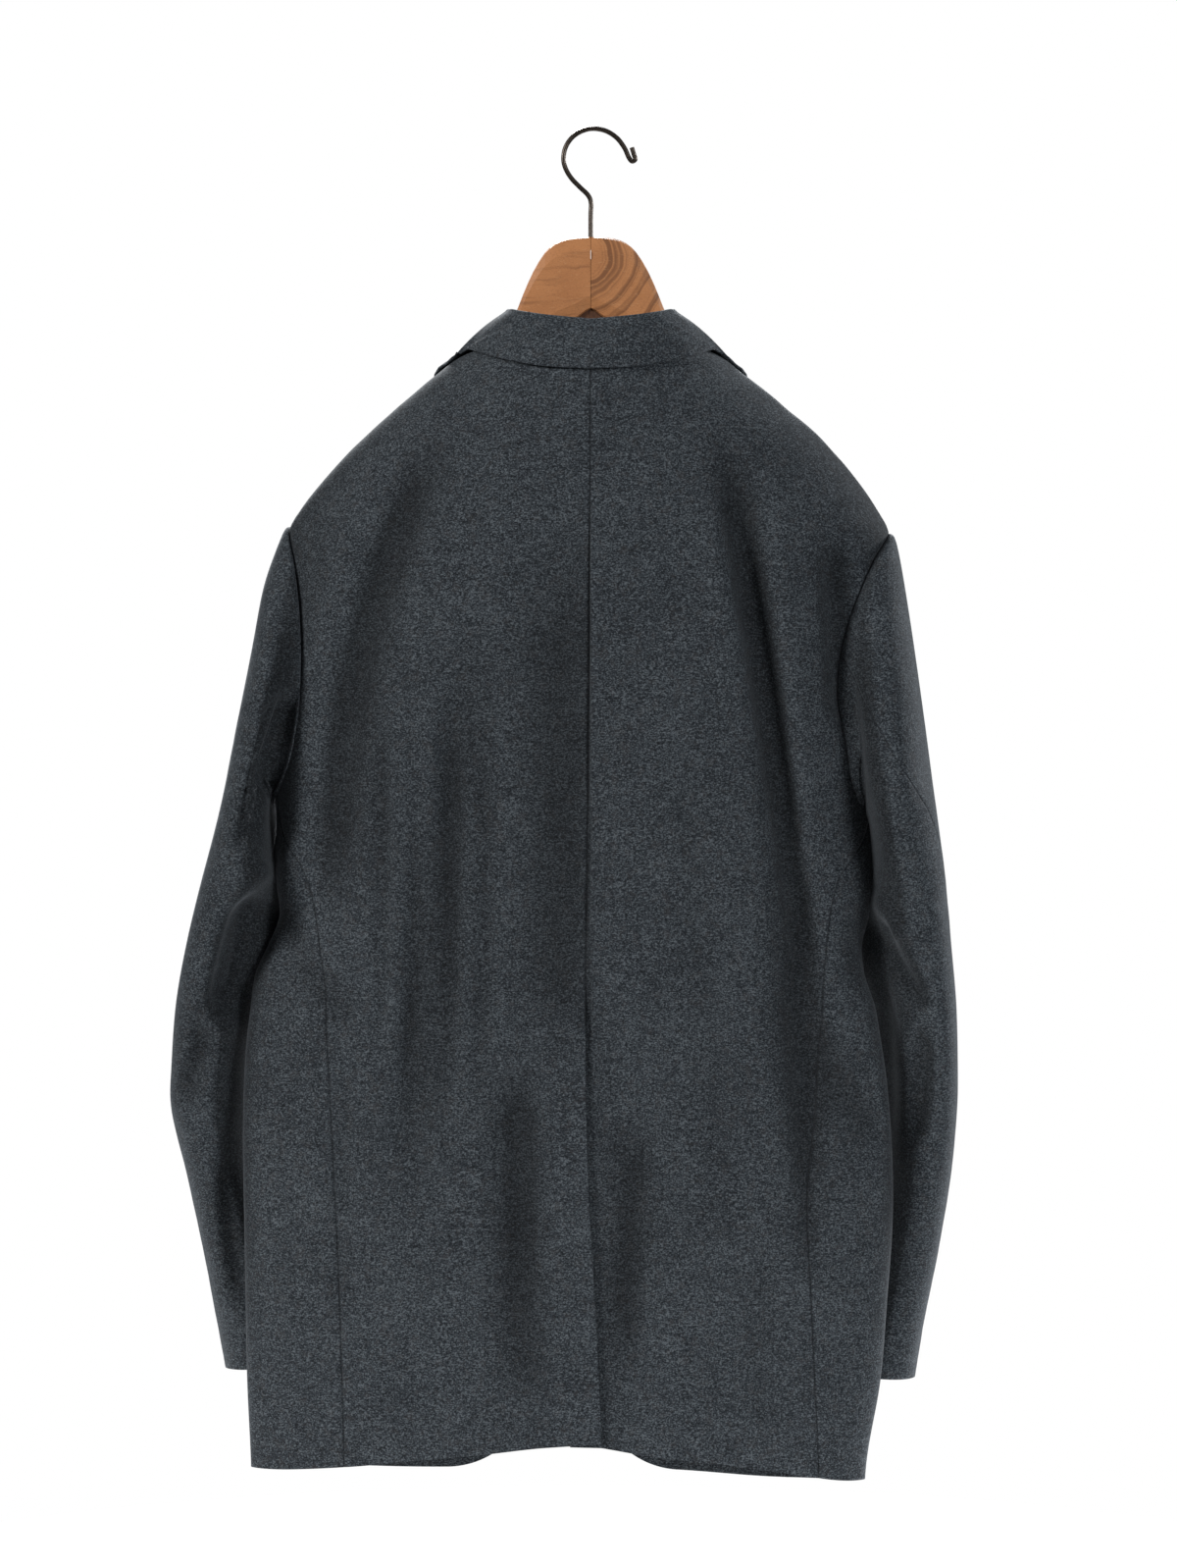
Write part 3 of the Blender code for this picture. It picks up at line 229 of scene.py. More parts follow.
SLEEVES = {  # a row for each section: outermost and innermost points, then the two folded edges
    1: (
        (223, -289, 230.5, -484.5, 210, 39, 208, -48),
        (229, -303, 232, -487, 218, 45, 214, -55),
        (237.8, -331, 232.5, -490, 227, 53, 222, -63),
        (245.5, -374, 232.5, -496, 235, 60, 230, -70),
        (256, -430, 232, -508, 242, 63, 236, -74),
        (267, -487, 229.5, -527, 250, 62, 242, -77),
        (281, -545, 226.5, -558, 262, 55, 249, -79),
        (290.5, -588, 228, -592, 272, 46, 256, -82),
        (298.5, -630, 238, -630, 279, 38, 260, -87),
        (302.5, -672, 244, -668, 282, 30, 261, -93),
        (303.5, -708, 243, -700, 281, 22, 257, -98),
        (293, -757, 240, -750, 272, 9, 246, -104),
        (282, -814, 231, -808, 261, -6, 234, -111),
        (272.6, -870, 222, -866, 251, -19, 223, -119),
        (267.5, -901, 218, -898, 246, -25, 218, -123),
    ),
    -1: (
        (-218.5, -294, -198, -494.5, -185, 43, -192, -50),
        (-222, -305, -199, -497, -190, 49, -197, -57),
        (-227, -333, -200, -500, -198, 57, -204, -64),
        (-233.5, -376, -201, -506, -206, 62, -210, -70),
        (-241, -430, -202, -517, -214, 64, -217, -74),
        (-248.5, -487, -202.5, -533, -221, 62, -222, -77),
        (-255.5, -545, -200, -560, -230, 55, -228, -79),
        (-259, -588, -197, -596, -236, 46, -231, -82),
        (-262.5, -630, -201, -633, -241, 38, -233, -87),
        (-264, -672, -204, -672, -243, 30, -233, -93),
        (-264, -708, -206, -706, -243, 22, -231, -98),
        (-260.5, -757, -208, -754, -239, 9, -224, -104),
        (-252, -814, -203, -812, -231, -6, -214, -111),
        (-242, -870, -196, -868, -221, -19, -203, -119),
        (-236.5, -908, -190.5, -906, -215, -26, -196, -124),
    ),
}
SLEEVE_FOLDS = (  # as FOLDS, on the sleeves' backs; the first valley of each runs from the armhole
    (208, -398, 226, -450, 256, -534, 8, -9),
    (232, -552, 262, -575, 268, -650, 9, -8),
    (274, -640, 282, -680, 300, -706, 10, -6),
    (262, -735, 266, -800, 252, -860, 9, -4),
    (-200, -560, -205, -598, -244, -640, 9, -9),
    (-232, -640, -240, -690, -228, -740, 10, -6),
    (-236, -470, -246, -520, -252, -560, 10, 2.5),
)
HIND_NODE = 5  # the armhole corner that the hind-arm seam starts from
HIND_TURNS = {  # where that seam runs, in each section from the armhole down
    1: (83, 82, 82, 82, 70, 28, 8, 5, 7, 10, 12, 16, 18, 20, 22, 24),
    -1: (83, 90, 93, 93, 88, 74, 46, 22, 12, 10, 10, 12, 14, 17, 20, 22),
}
FORE_TURN = 228.0  # and the seam on the sleeve's inner front, below the armhole
HOOK_PATH = (  # x, z of the wire's centre line, from the wood up
    (1.2, -86),
    (1.2, -62),
    (1, -52),
    (3.2, -46.4),
    (9.4, -40.3),
    (15.5, -33.8),
    (19.6, -26.6),
    (20.9, -19.6),
    (19.3, -11.6),
    (14.6, -4.6),
    (8, -0.2),
    (0, 1.75),
    (-9.4, 0.2),
    (-17.6, -4.9),
    (-23.2, -12.2),
    (-26.2, -18.8),
    (-28.6, -21.8),
    (-31, -20.6),
    (-30.2, -17.4),
    (-28.6, -12),
)
BUTTON_Z = (-592, -692)

VIEWS = {"back": (0, 1, 1), "front": (0, 1, -1), "left": (1, 0, 1), "right": (1, 0, -1)}
# By part and view: a and z of start, bend and end, width towards less and more of a, and height;
# a is x, or y in the side views.
CREASES = {
    ("body", "back"): (
        (1, -215, 3, -480, 1, -720, 0.4, 30, -3.2),
        (152, -385, 144, -560, 156, -730, 7, 9, -4.4),
        (128, -370, 121, -560, 134, -745, 7, 9, -4.2),
        (103, -380, 94, -560, 107, -740, 7, 9, -3.9),
        (78, -390, 72, -560, 82, -730, 7, 9, -3.3),
        (49, -650, 46, -760, 53, -880, 9, 14, -3.5),
        (178, -640, 176, -740, 184, -900, 8, 8, -1.6),
        (-90, -205, -136, -434, -160, -660, 7, 11, -6.5),
        (-74, -230, -114, -434, -142, -640, 8, 9, 2.6),
        (-55, -420, -80, -600, -96, -840, 12, 12, -1.6),
        (-158, -640, -148, -726, -158, -850, 8, 10, -3.4),
        (-33, -700, -26, -800, -24, -900, 9, 12, -3),
        (-120, -800, -118, -880, -122, -960, 12, 12, -1.6),
    ),
    ("body", "right"): ((-10, -430, 0, -560, -6, -655, 34, 34, 9),),
    ("body", "left"): ((-10, -500, 0, -560, -6, -640, 34, 34, 5),),
    ("sleeve_right", "left"): ((-20, -480, -15, -575, -15, -650, 30, 30, 4.5),),
    ("sleeve_left", "right"): ((-20, -480, -15, -560, -15, -640, 30, 30, 3.5),),
    ("sleeve_left", "back"): (
        (212, -394, 232, -460, 244, -530, 10, 16, -7),
        (240, -545, 252, -592, 268, -650, 16, 9, -13),
        (220, -532, 248, -532, 264, -565, 8, 8, 5.5),
        (286, -615, 276, -650, 300, -715, 10, 10, -3),
        (262, -700, 268, -780, 250, -880, 10, 10, -2.6),
        (240, -380, 262, -450, 276, -530, 10, 10, 1.6),
    ),
    ("sleeve_right", "back"): (
        (-183, -380, -184, -450, -197, -540, 6, 20, -5.5),
        (-204, -580, -206, -650, -212, -760, 12, 30, -7),
        (-214, -600, -250, -650, -228, -725, 9, 9, -3),
        (-200, -548, -214, -562, -222, -592, 8, 8, 4.5),
        (-222, -740, -226, -800, -220, -880, 10, 10, -2.2),
        (-238, -430, -236, -500, -246, -570, 14, 14, -1.6),
    ),
    ("body", "front"): (
        (40, -290, 70, -480, 60, -700, 16, 16, -3),
        (-50, -300, -76, -480, -66, -720, 16, 16, -3),
        (96, -360, 120, -560, 112, -840, 14, 14, -3.4),
        (-100, -380, -118, -560, -110, -860, 14, 14, -3.4),
    ),
    ("sleeve_left", "front"): (
        (236, -480, 262, -540, 246, -600, 10, 10, -4),
        (262, -640, 280, -700, 262, -780, 10, 10, -3),
    ),
    ("sleeve_right", "front"): (
        (-206, -470, -236, -540, -218, -600, 10, 10, -4),
        (-226, -640, -246, -700, -228, -780, 10, 10, -3),
    ),
}


# ---- the photograph's view, its light and its floor -------------------------------------

VIEW_FROM = (2.8, 3200.0, -472.5)  # the camera looks straight along -Y
VIEW_HEIGHT = 1134.6  # what the frame's height takes in at the jacket
SENSOR = 32.0
FLOOR, FLOOR_RADIUS = -1100.0, 750.0
LIT_AT = (0, 0, -480)
LAMPS = (  # name, place, size, watts, colour
    ("key", (2300, 1350, 800), 800, 62, (1.0, 0.99, 0.975)),
    ("fill", (-1800, 1900, 300), 900, 35, (0.97, 0.985, 1.0)),
    ("front", (300, -2100, 1300), 700, 120, (1.0, 1.0, 1.0)),
    ("edge", (-2200, -1300, 500), 700, 50, (1.0, 1.0, 1.0)),
)
SKY = {1: 0.09, 2: 1.0}  # the world's strength as light, and as seen


def mesh_of(bm, name):
    """The finished form as a mesh, in metres."""
    bmesh.ops.scale(bm, verts=bm.verts, vec=(MM, MM, MM))
    mesh = bpy.data.meshes.new(name)
    bm.to_mesh(mesh)
    bm.free()
    return mesh


def put_on_stage(name, data, place=(0, 0, 0), target=None):
    obj = bpy.data.objects.new(name, data)
    bpy.context.scene.collection.objects.link(obj)
    if target:
        obj.location = Vector(place) * MM
        obj.rotation_euler = (Vector(target) - Vector(place)).to_track_quat("-Z", "Y").to_euler()
    return obj


def set_camera():
    data = bpy.data.cameras.new("view")
    data.sensor_fit = "VERTICAL"
    data.sensor_height = SENSOR
    data.lens = SENSOR * VIEW_FROM[1] / VIEW_HEIGHT
    data.clip_end = 50
    bpy.context.scene.camera = put_on_stage("view", data, VIEW_FROM, (VIEW_FROM[0], 0, VIEW_FROM[2]))


def set_lights():
    world = bpy.data.worlds.new("studio")
    bpy.context.scene.world = world
    world.use_nodes = True
    nodes, links = world.node_tree.nodes, world.node_tree.links
    nodes.clear()
    out, mix, path = (nodes.new("ShaderNode" + kind) for kind in ("OutputWorld", "MixShader", "LightPath"))
    for slot, strength in SKY.items():
        back = nodes.new("ShaderNodeBackground")
        back.inputs["Color"].default_value = (1.0, 1.0, 1.0, 1.0)
        back.inputs["Strength"].default_value = strength
        links.new(back.outputs[0], mix.inputs[slot])
    links.new(path.outputs["Is Camera Ray"], mix.inputs[0])
    links.new(mix.outputs[0], out.inputs["Surface"])
    for name, place, size, watts, colour in LAMPS:
        data = bpy.data.lights.new(name, "AREA")
        data.shape, data.size, data.energy, data.color = "DISK", size * MM, watts, colour
        put_on_stage(name, data, place, LIT_AT)


def set_floor():
    bm = bmesh.new()
    bmesh.ops.create_circle(bm, cap_ends=True, segments=96, radius=FLOOR_RADIUS)
    bmesh.ops.translate(bm, verts=bm.verts, vec=(0, 0, FLOOR))
    mesh = mesh_of(bm, "floor")
    mesh.materials.append(plain_floor())
    put_on_stage("floor", mesh)


# ---- finishes ---------------------------------------------------------------------------


class Value:
    """A socket that takes part in sums, each operator adding its Math node."""

    def __init__(self, finish, socket):
        self.finish, self.socket = finish, socket

    def _math(self, operation, other):
        return self.finish.node("ShaderNodeMath", {"operation": operation}, {0: self, 1: other})

    def __add__(self, other):
        return self._math("ADD", other)

    def __sub__(self, other):
        return self._math("SUBTRACT", other)

    def __mul__(self, other):
        return self._math("MULTIPLY", other)

    def __pow__(self, other):
        return self._math("POWER", other)

    __radd__ = __add__

    def clip(self):
        return self._math("MAXIMUM", 0.0)._math("MINIMUM", 1.0)

    def step(self, start, stop):
        """0 at start, 1 at stop, smooth between them."""
        values = {"Value": self, "From Min": start, "From Max": stop}
        return self.finish.node("ShaderNodeMapRange", {"interpolation_type": "SMOOTHSTEP"}, values)


class Finish:
    """One material and the nodes that are added to it."""

    def __init__(self, name, **constants):
        self.material = bpy.data.materials.new(name)
        self.material.use_nodes = True
        self.tree = self.material.node_tree
        self.shader = self.tree.nodes["Principled BSDF"]
        for key, value in constants.items():
            self.shader.inputs[key.replace("_", " ")].default_value = value

    def node(self, kind, settings=None, values=None, output=0):
        """One node: its settings first, then the values or links of its sockets."""
        made = self.tree.nodes.new(kind)
        for key, value in (settings or {}).items():
            setattr(made, key, value)
        for key, value in (values or {}).items():
            if isinstance(value, Value):
                self.tree.links.new(value.socket, made.inputs[key])
            else:
                made.inputs[key].default_value = value
        return Value(self, made.outputs[output])

    def place(self, stretch=(1, 1, 1), shift=(0, 0, 0)):
        source = self.node("ShaderNodeTexCoord", output="Object")
        return self.node("ShaderNodeMapping", {}, {"Vector": source, "Scale": stretch, "Location": shift})

    def noise(self, where, scale, detail, roughness, distortion=0.0):
        values = {"Vector": where, "Scale": scale, "Detail": detail, "Roughness": roughness}
        return self.node("ShaderNodeTexNoise", {}, {**values, "Distortion": distortion})

    def joined(self, x, y):
        return self.node("ShaderNodeCombineXYZ", {}, {"X": x, "Y": y})

    def split(self, vector):
        return [self.node("ShaderNodeSeparateXYZ", {}, {"Vector": vector}, output=k) for k in range(3)]

    def ramp(self, value, stops):
        made = self.tree.nodes.new("ShaderNodeValToRGB")
        elements = made.color_ramp.elements
        while len(elements) < len(stops):
            elements.new(0.5)
        for element, (place, colour) in zip(elements, stops):
            element.position, element.color = place, (*colour, 1.0)
        self.tree.links.new(value.socket, made.inputs["Fac"])
        return Value(self, made.outputs[0])

    def mix(self, factor, one, two, kind="MIX"):
        """Two colours mixed; 0, 6 and 7 are the sockets of the factor and of the colours."""
        one, two = (colour if isinstance(colour, Value) else (*colour, 1.0) for colour in (one, two))
        settings = {"data_type": "RGBA", "blend_type": kind}
        return self.node("ShaderNodeMix", settings, {0: factor, 6: one, 7: two}, output=2)

    def attribute(self, name):
        return self.node("ShaderNodeAttribute", {"attribute_name": name}, output="Fac")

    def bump(self, height, strength, distance):
        values = {"Height": height, "Strength": strength, "Distance": distance * MM}
        self.put("Normal", self.node("ShaderNodeBump", {}, values))

    def put(self, name, value):
        self.tree.links.new(value.socket, self.shader.inputs[name])


def grained(name, stretch, noise, stops, dull, duller, **constants):
    """A finish of one noise, which sets its colour and how dull it is."""
    finish = Finish(name, **constants)
    grain = finish.noise(finish.place(stretch), *noise)
    finish.put("Base Color", finish.ramp(grain, stops))
    finish.put("Roughness", dull + grain * duller)
    return finish.material


def horn():
    stops = (0.30, (0.010, 0.008, 0.007)), (0.60, (0.030, 0.022, 0.017)), (0.85, (0.095, 0.070, 0.050))
    coat = {"Coat_Weight": 0.3, "Coat_Roughness": 0.12}
    return grained("dark_horn", (1, 1, 0.35), (320, 3, 0.6, 1.4), stops, 0.24, 0.18, **coat)


def thread_finish():
    stops = (0.3, (0.012, 0.014, 0.018)), (0.7, (0.040, 0.046, 0.054))
    return grained("silk_thread", (1, 1, 1), (3200, 2, 0.6), stops, 0.55, 0.2, Sheen_Weight=0.3)


def dark_wood():
    stops = (0.35, (0.060, 0.024, 0.012)), (0.65, (0.120, 0.050, 0.024))
    return grained("dark_end_grain", (1, 1, 0.4), (700, 3, 0.6), stops, 0.6, 0.2, Specular_IOR_Level=0.3)


def wire_finish():
    finish = Finish("blackened_wire", Metallic=0.85, Coat_Weight=0.15, Coat_Roughness=0.25)
    worn = finish.noise(finish.place(), 420, 3, 0.6)
    fine = finish.noise(finish.place(shift=(1, 1, 2)), 900, 2, 0.5)
    stops = (0.35, (0.045, 0.036, 0.029)), (0.75, (0.090, 0.072, 0.058))
    finish.put("Base Color", finish.ramp(worn, stops))
    finish.put("Roughness", 0.30 + fine * 0.16)
    finish.bump(fine, 0.08, 0.05)
    return finish.material


RING_CENTRE = (4.4, -91.0)  # the heart of the board's rings, at the joint
DARK_LINE, DARK_PORE, PALE_PIT = (0.135, 0.050, 0.020), (0.150, 0.058, 0.022), (0.66, 0.38, 0.19)


def wood(name, side):
    """Oiled hardwood: one half shows faint straight grain, the other the rings of a knotty board."""
    finish = Finish(name, Specular_IOR_Level=0.4)
    x, y, z = finish.split(finish.place())
    pores = finish.noise(finish.place((0.5, 1, 1.6)), 1500, 2, 0.7)
    pits = finish.noise(finish.place((0.4, 1, 1.8), (1, 2, 3)), 620, 2, 0.6)
    soft = finish.noise(finish.place(), 26, 3, 0.55)
    sway = finish.noise(finish.place(shift=(4, 0, 1)), 34, 2, 0.5) - 0.5
    if side > 0:
        level = z + sway * 0.010 + x * 0.10
        rings = finish.noise(finish.joined(level, x * 0.05), 230, 3, 0.65)
        line = rings.step(0.50, 0.70) * 0.40
    else:
        dx, dz = x - RING_CENTRE[0] * MM, (z - RING_CENTRE[1] * MM) * 0.92
        far = (dx * dx + dz * dz) ** 0.5 + sway * 0.009
        rings = finish.noise(finish.joined(far, 0.7), 175, 3, 0.6)
        line = rings.step(0.50, 0.66) * 0.72
    colour = finish.ramp(soft, ((0.25, (0.43, 0.175, 0.064)), (0.75, (0.57, 0.250, 0.098))))
    colour = finish.mix(line, colour, DARK_LINE)
    colour = finish.mix(pores.step(0.48, 0.72) * 0.40, colour, DARK_PORE)
    colour = finish.mix(pits.step(0.60, 0.74) * 0.28, colour, PALE_PIT)
    finish.put("Base Color", colour)
    finish.put("Roughness", 0.46 + pores * 0.20)
    finish.bump(pores * 0.6 + rings * 0.15, 0.3, 0.2)
    return finish.material


YARNS = {  # stretch, shift, scale, detail, roughness, then its share in the mixture
    "fibre": ((1, 1, 1), (0, 0, 0), 1000, 2, 0.7, 2.5),
    "fleck": ((1, 1, 2.0), (0, 0, 0), 520, 2, 0.6, 2.2),
    "slub": ((1, 1, 6.0), (3, 1, 0), 110, 2, 0.6, 0.45),
    "patchy": ((1, 1, 2.2), (2, 5, 1), 70, 3, 0.6, 0.35),
    "cloudy": ((1, 1, 1), (0, 0, 0), 16, 4, 0.6, 0.35),
}
DYES = (  # the darkest to the palest fibres, and how much of the mixture is darker
    (0.05, (0.0064, 0.0082, 0.0105)),
    (0.40, (0.0218, 0.0268, 0.0331)),
    (0.60, (0.0362, 0.0440, 0.0524)),
    (0.95, (0.1020, 0.1184, 0.1320)),
)
# The second and third colours are painted shade: the tint multiplied into folds, and the near-black of a
# seam's groove.
WARM_FIBRE, SHADE_IN_FOLDS, SHADE_IN_SEAMS = (0.052, 0.048, 0.047), (0.13, 0.14, 0.15), (0.006, 0.007, 0.009)


def flannel():
    """Charcoal-blue melange: dyed and pale fibres mixed before spinning, woven, then brushed; with painted
    shade in its folds, where sleeve and body face each other, and along its seams' grooves.
    """
    finish = Finish("wool_flannel", Specular_IOR_Level=0.25, Sheen_Weight=0.16, Sheen_Roughness=0.45)
    finish.shader.inputs["Sheen Tint"].default_value = (0.75, 0.82, 0.9, 1)
    yarn = {}
    mixed = 0.5
    for name, (stretch, shift, *noise, share) in YARNS.items():
        yarn[name] = finish.noise(finish.place(stretch, shift), *noise)
        mixed = mixed + (yarn[name] - 0.5) * share
    colour = finish.ramp(mixed.clip(), DYES)
    warm = finish.noise(finish.place(shift=(7, 2, 0)), 160, 2, 0.6)
    colour = finish.mix(warm.step(0.52, 0.68) * 0.22, colour, WARM_FIBRE)
    # Painted shade: the colour multiplied darker in folds and where sleeve and body face each other.
    shaded = finish.mix(1.0, colour, SHADE_IN_FOLDS, "MULTIPLY")
    colour = finish.mix(finish.attribute("painted_shade") * 0.66, colour, shaded)
    # Painted shade: near-black along each seam's groove.
    colour = finish.mix(finish.attribute("seam") * 0.85, colour, SHADE_IN_SEAMS)
    finish.put("Base Color", colour)
    finish.put("Roughness", 0.86 + yarn["fibre"] * 0.12)
    finish.bump(yarn["fibre"] * 0.5 + yarn["fleck"] * 0.7 + yarn["slub"] * 0.35, 0.55, 0.55)
    return finish.material


def plain_floor():
    finish = Finish("pale_floor", Base_Color=(0.9, 0.9, 0.9, 1), Roughness=0.9, Specular_IOR_Level=0.0)
    finish.shader.inputs["Emission Color"].default_value = (1, 1, 1, 1)
    finish.shader.inputs["Emission Strength"].default_value = 0.35
    return finish.material


# ---- the cloth's forms, in millimetres --------------------------------------------------

WORDS = {1: "left", -1: "right"}
BESIDE = math.pi / 2  # the angle of the line between back and front
QUARTERS = np.array([0.0, 90.0, 180.0, 270.0])  # turns round an armhole
HEM_LEVEL = -960.0  # near the hem all round
SEAM_BEND = 55.0  # over this height the side seam runs into the armhole
NEAR = 1e-9


def smooth(t):
    t = np.clip(t, 0.0, 1.0)
    return t * t * (3 - 2 * t)


def unit(v):
    return v / np.maximum(np.linalg.norm(v, axis=-1, keepdims=True), NEAR)


def bent(t, a, b, leaving, arriving):
    """A smooth line from a to b with those slopes at its ends."""
    first = (2 * t**3 - 3 * t**2 + 1) * a + (t**3 - 2 * t**2 + t) * leaving
    return first + (3 * t**2 - 2 * t**3) * b + (t**3 - t**2) * arriving


def read(table, columns, name, at):
    """A smooth line through one column of a table, read at any value of its first column."""
    rows = np.array(sorted(table, key=lambda row: row[0]), float)
    x, y = rows[:, 0], rows[:, columns.index(name)]
    at = np.clip(np.asarray(at, float), x[0], x[-1])
    step = np.diff(x)
    slope = np.diff(y) / step
    inner = (step[1:] * slope[:-1] + step[:-1] * slope[1:]) / (step[1:] + step[:-1])
    tangent = np.concatenate([slope[:1], inner, slope[-1:]])
    i = np.clip(np.searchsorted(x, at) - 1, 0, len(x) - 2)
    return bent((at - x[i]) / step[i], y[i], y[i + 1], step[i] * tangent[i], step[i] * tangent[i + 1])


def section(name, z):
    return read(SECTIONS, SECTION_COLUMNS, name, z)


def edge(side, z):
    return read(EDGES, EDGE_COLUMNS, WORDS[side], z)


def gap(z):
    return read(ROLL, ROLL_COLUMNS, "gap", z)


def hem(side, angle):
    return read(HEMS, HEM_COLUMNS, WORDS[side], np.degrees(angle))


def torso(side, angle, z):
    """The plain torso, before its folds: points of angle (radians) and height."""
    angle, z = np.broadcast_arrays(np.asarray(angle, float), np.asarray(z, float))
    behind = angle <= BESIDE

    def either(back, front):
        return np.where(behind, section(back, z), section(front, z))

    centre, middle, g = either("seam", "middle"), section("side", z), np.sin(angle)
    rise = np.clip(1 - np.abs(g) ** either("back_p", "front_p"), 0.0, None) ** either("back_q", "front_q")
    y = middle + (either("back", "front") - middle) * rise
    return np.stack([centre + (edge(side, z) - centre) * g, y, z], axis=-1)


def across(surface, side, angle, z):
    """The direction straight out of the body."""
    turn, rise = 0.004, 0.4
    along = surface(side, angle + turn, z) - surface(side, angle - turn, z)
    up = surface(side, angle, z + rise) - surface(side, angle, z - rise)
    return unit(np.cross(along, up) * -side)


def near_path(x, z, path):
    """(distance to a bent line, how far along it, which side of it), for each point."""
    count = 24
    start, bend, stop = np.reshape(path, (3, 2))
    t = np.linspace(0, 1, count + 1)[:, None]
    line = (1 - t) ** 2 * start + 2 * t * (1 - t) * bend + t**2 * stop
    best = np.full(x.shape, 1e9)
    along, side = np.zeros(x.shape), np.zeros(x.shape)
    for k, (a, b) in enumerate(zip(line[:-1], line[1:])):
        d = b - a
        s = np.clip(((x - a[0]) * d[0] + (z - a[1]) * d[1]) / (d @ d), 0, 1)
        ox, oz = x - a[0] - s * d[0], z - a[1] - s * d[1]
        far = np.hypot(ox, oz)
        nearer = far < best
        along = np.where(nearer, (k + s) / count, along)
        side = np.where(nearer, d[0] * oz - d[1] * ox, side)
        best = np.minimum(best, far)
    return best, along, side


def fade(t, ends=0.25):
    return smooth(t / ends) * smooth((1 - t) / ends)


def folded(folds, points):
    """How far the solids' own folds lift the cloth."""
    lift = np.zeros(points.shape[:-1])
    for *path, width, height in folds:
        far, t, _ = near_path(points[..., 0], points[..., 2], path)
        lift += height * np.exp(-((far / width) ** 2)) * fade(t)
    return lift


def body_folds(angle, points):
    """The folds of the back, dying away towards the sides."""
    return folded(FOLDS, points) * smooth(np.cos(angle) / 0.3)


def creased(part, points, out):
    """How far the rows of CREASES lift that part of the jacket."""
    lift = np.zeros(points.shape[:-1])
    for (name, view), rows in CREASES.items():
        if name != part:
            continue
        axis, facing, sign = VIEWS[view]
        shown = smooth(sign * out[..., facing] / 0.4)
        for *path, less, more, height in rows:
            far, t, side = near_path(points[..., axis], points[..., 2], path)
            width = np.where(side > 0, more, less)
            lift += height * np.exp(-((far / width) ** 2)) * fade(t, 0.3) * shown
    return lift


def body(side, angle, z):
    """The torso with its folds."""
    angle, z = np.broadcast_arrays(np.asarray(angle, float), np.asarray(z, float))
    p = torso(side, angle, z)
    return p + across(torso, side, angle, z) * body_folds(angle, p)[..., None]


def angle_at(side, x, z, centre):
    return np.arcsin(np.clip((x - centre) / (edge(side, z) - centre), -1, 1))


def angle_behind(side, x, z):
    return angle_at(side, x, z, section("seam", z))


def angle_before(side, x, z):
    return math.pi - angle_at(side, x, z, section("middle", z))


def armhole(side, turn):
    """(angle, height) on the armhole; turn is 0 at the tip, 180 underarm, 360 at the tip, back first."""
    turn = np.asarray(turn, float)
    half = np.where(turn > 180, 360 - turn, turn)
    back, front = (
        read(ARMHOLES, ARMHOLE_COLUMNS, f"{WORDS[side]}_{face}", half) for face in ("back", "front")
    )
    top, low = SHOULDER_TIP[side], UNDERARM[side]
    z = (top + low) / 2 + (top - low) / 2 * np.cos(np.radians(half))
    return np.radians(np.where(turn > 180, front, back)), z


def coons(left, right, bottom, top, u, v, pull=2.5):
    """A four-sided patch in (angle, height) between its edges, each a function of 0 to 1."""
    le, ri, bo, to = (np.stack(line(t), -1) for line, t in ((left, v), (right, v), (bottom, u), (top, u)))
    u, v = u[:, None], v[None, :, None]
    ruled = (1 - u)[..., None] * le[None] + u[..., None] * ri[None]
    high = to - ((1 - u) * le[-1] + u * ri[-1])
    low = bo - ((1 - u) * le[0] + u * ri[0])
    return ruled + v**pull * high[:, None] + (1 - v) ** pull * low[:, None]


def side_seam(side, z):
    """Angle of the seam between back and side panel; it runs into the armhole at its top."""
    angle = angle_behind(side, read(SIDE_SEAMS, SEAM_COLUMNS, WORDS[side], z), z)
    top_angle, top_z = armhole(side, SIDE_TURN)
    return angle + (top_angle - angle) * smooth((z - (top_z - SEAM_BEND)) / SEAM_BEND)


def front_seam(side, z):
    """Angle of the seam between side panel and front."""
    top_angle, top_z = armhole(side, 360 - FRONT_TURN)
    low = math.radians(FRONT_SEAM_HEM)
    return low + (top_angle - low) * smooth((z - HEM_LEVEL) / (top_z - HEM_LEVEL)) ** 0.8


def hem_corner(side, seam):
    """Height at which a seam line meets the hem."""
    z = HEM_LEVEL
    for _ in range(8):
        z = float(hem(side, seam(side, z)))
    return z


def armhole_side(side, seam, start, span):
    """A panel's edge up its seam and then round the armhole to the shoulder tip, at the turn start."""
    low, join = hem_corner(side, seam), armhole(side, start + span)[1]

    def line(v):
        z = low + (join - low) * np.clip(v / SPLIT, 0, 1)
        arm_a, arm_z = armhole(side, start + span * np.clip((1 - v) / (1 - SPLIT), 0, 1))
        on_seam = v <= SPLIT + NEAR
        return np.where(on_seam, seam(side, z), arm_a), np.where(on_seam, z, arm_z)

    return line


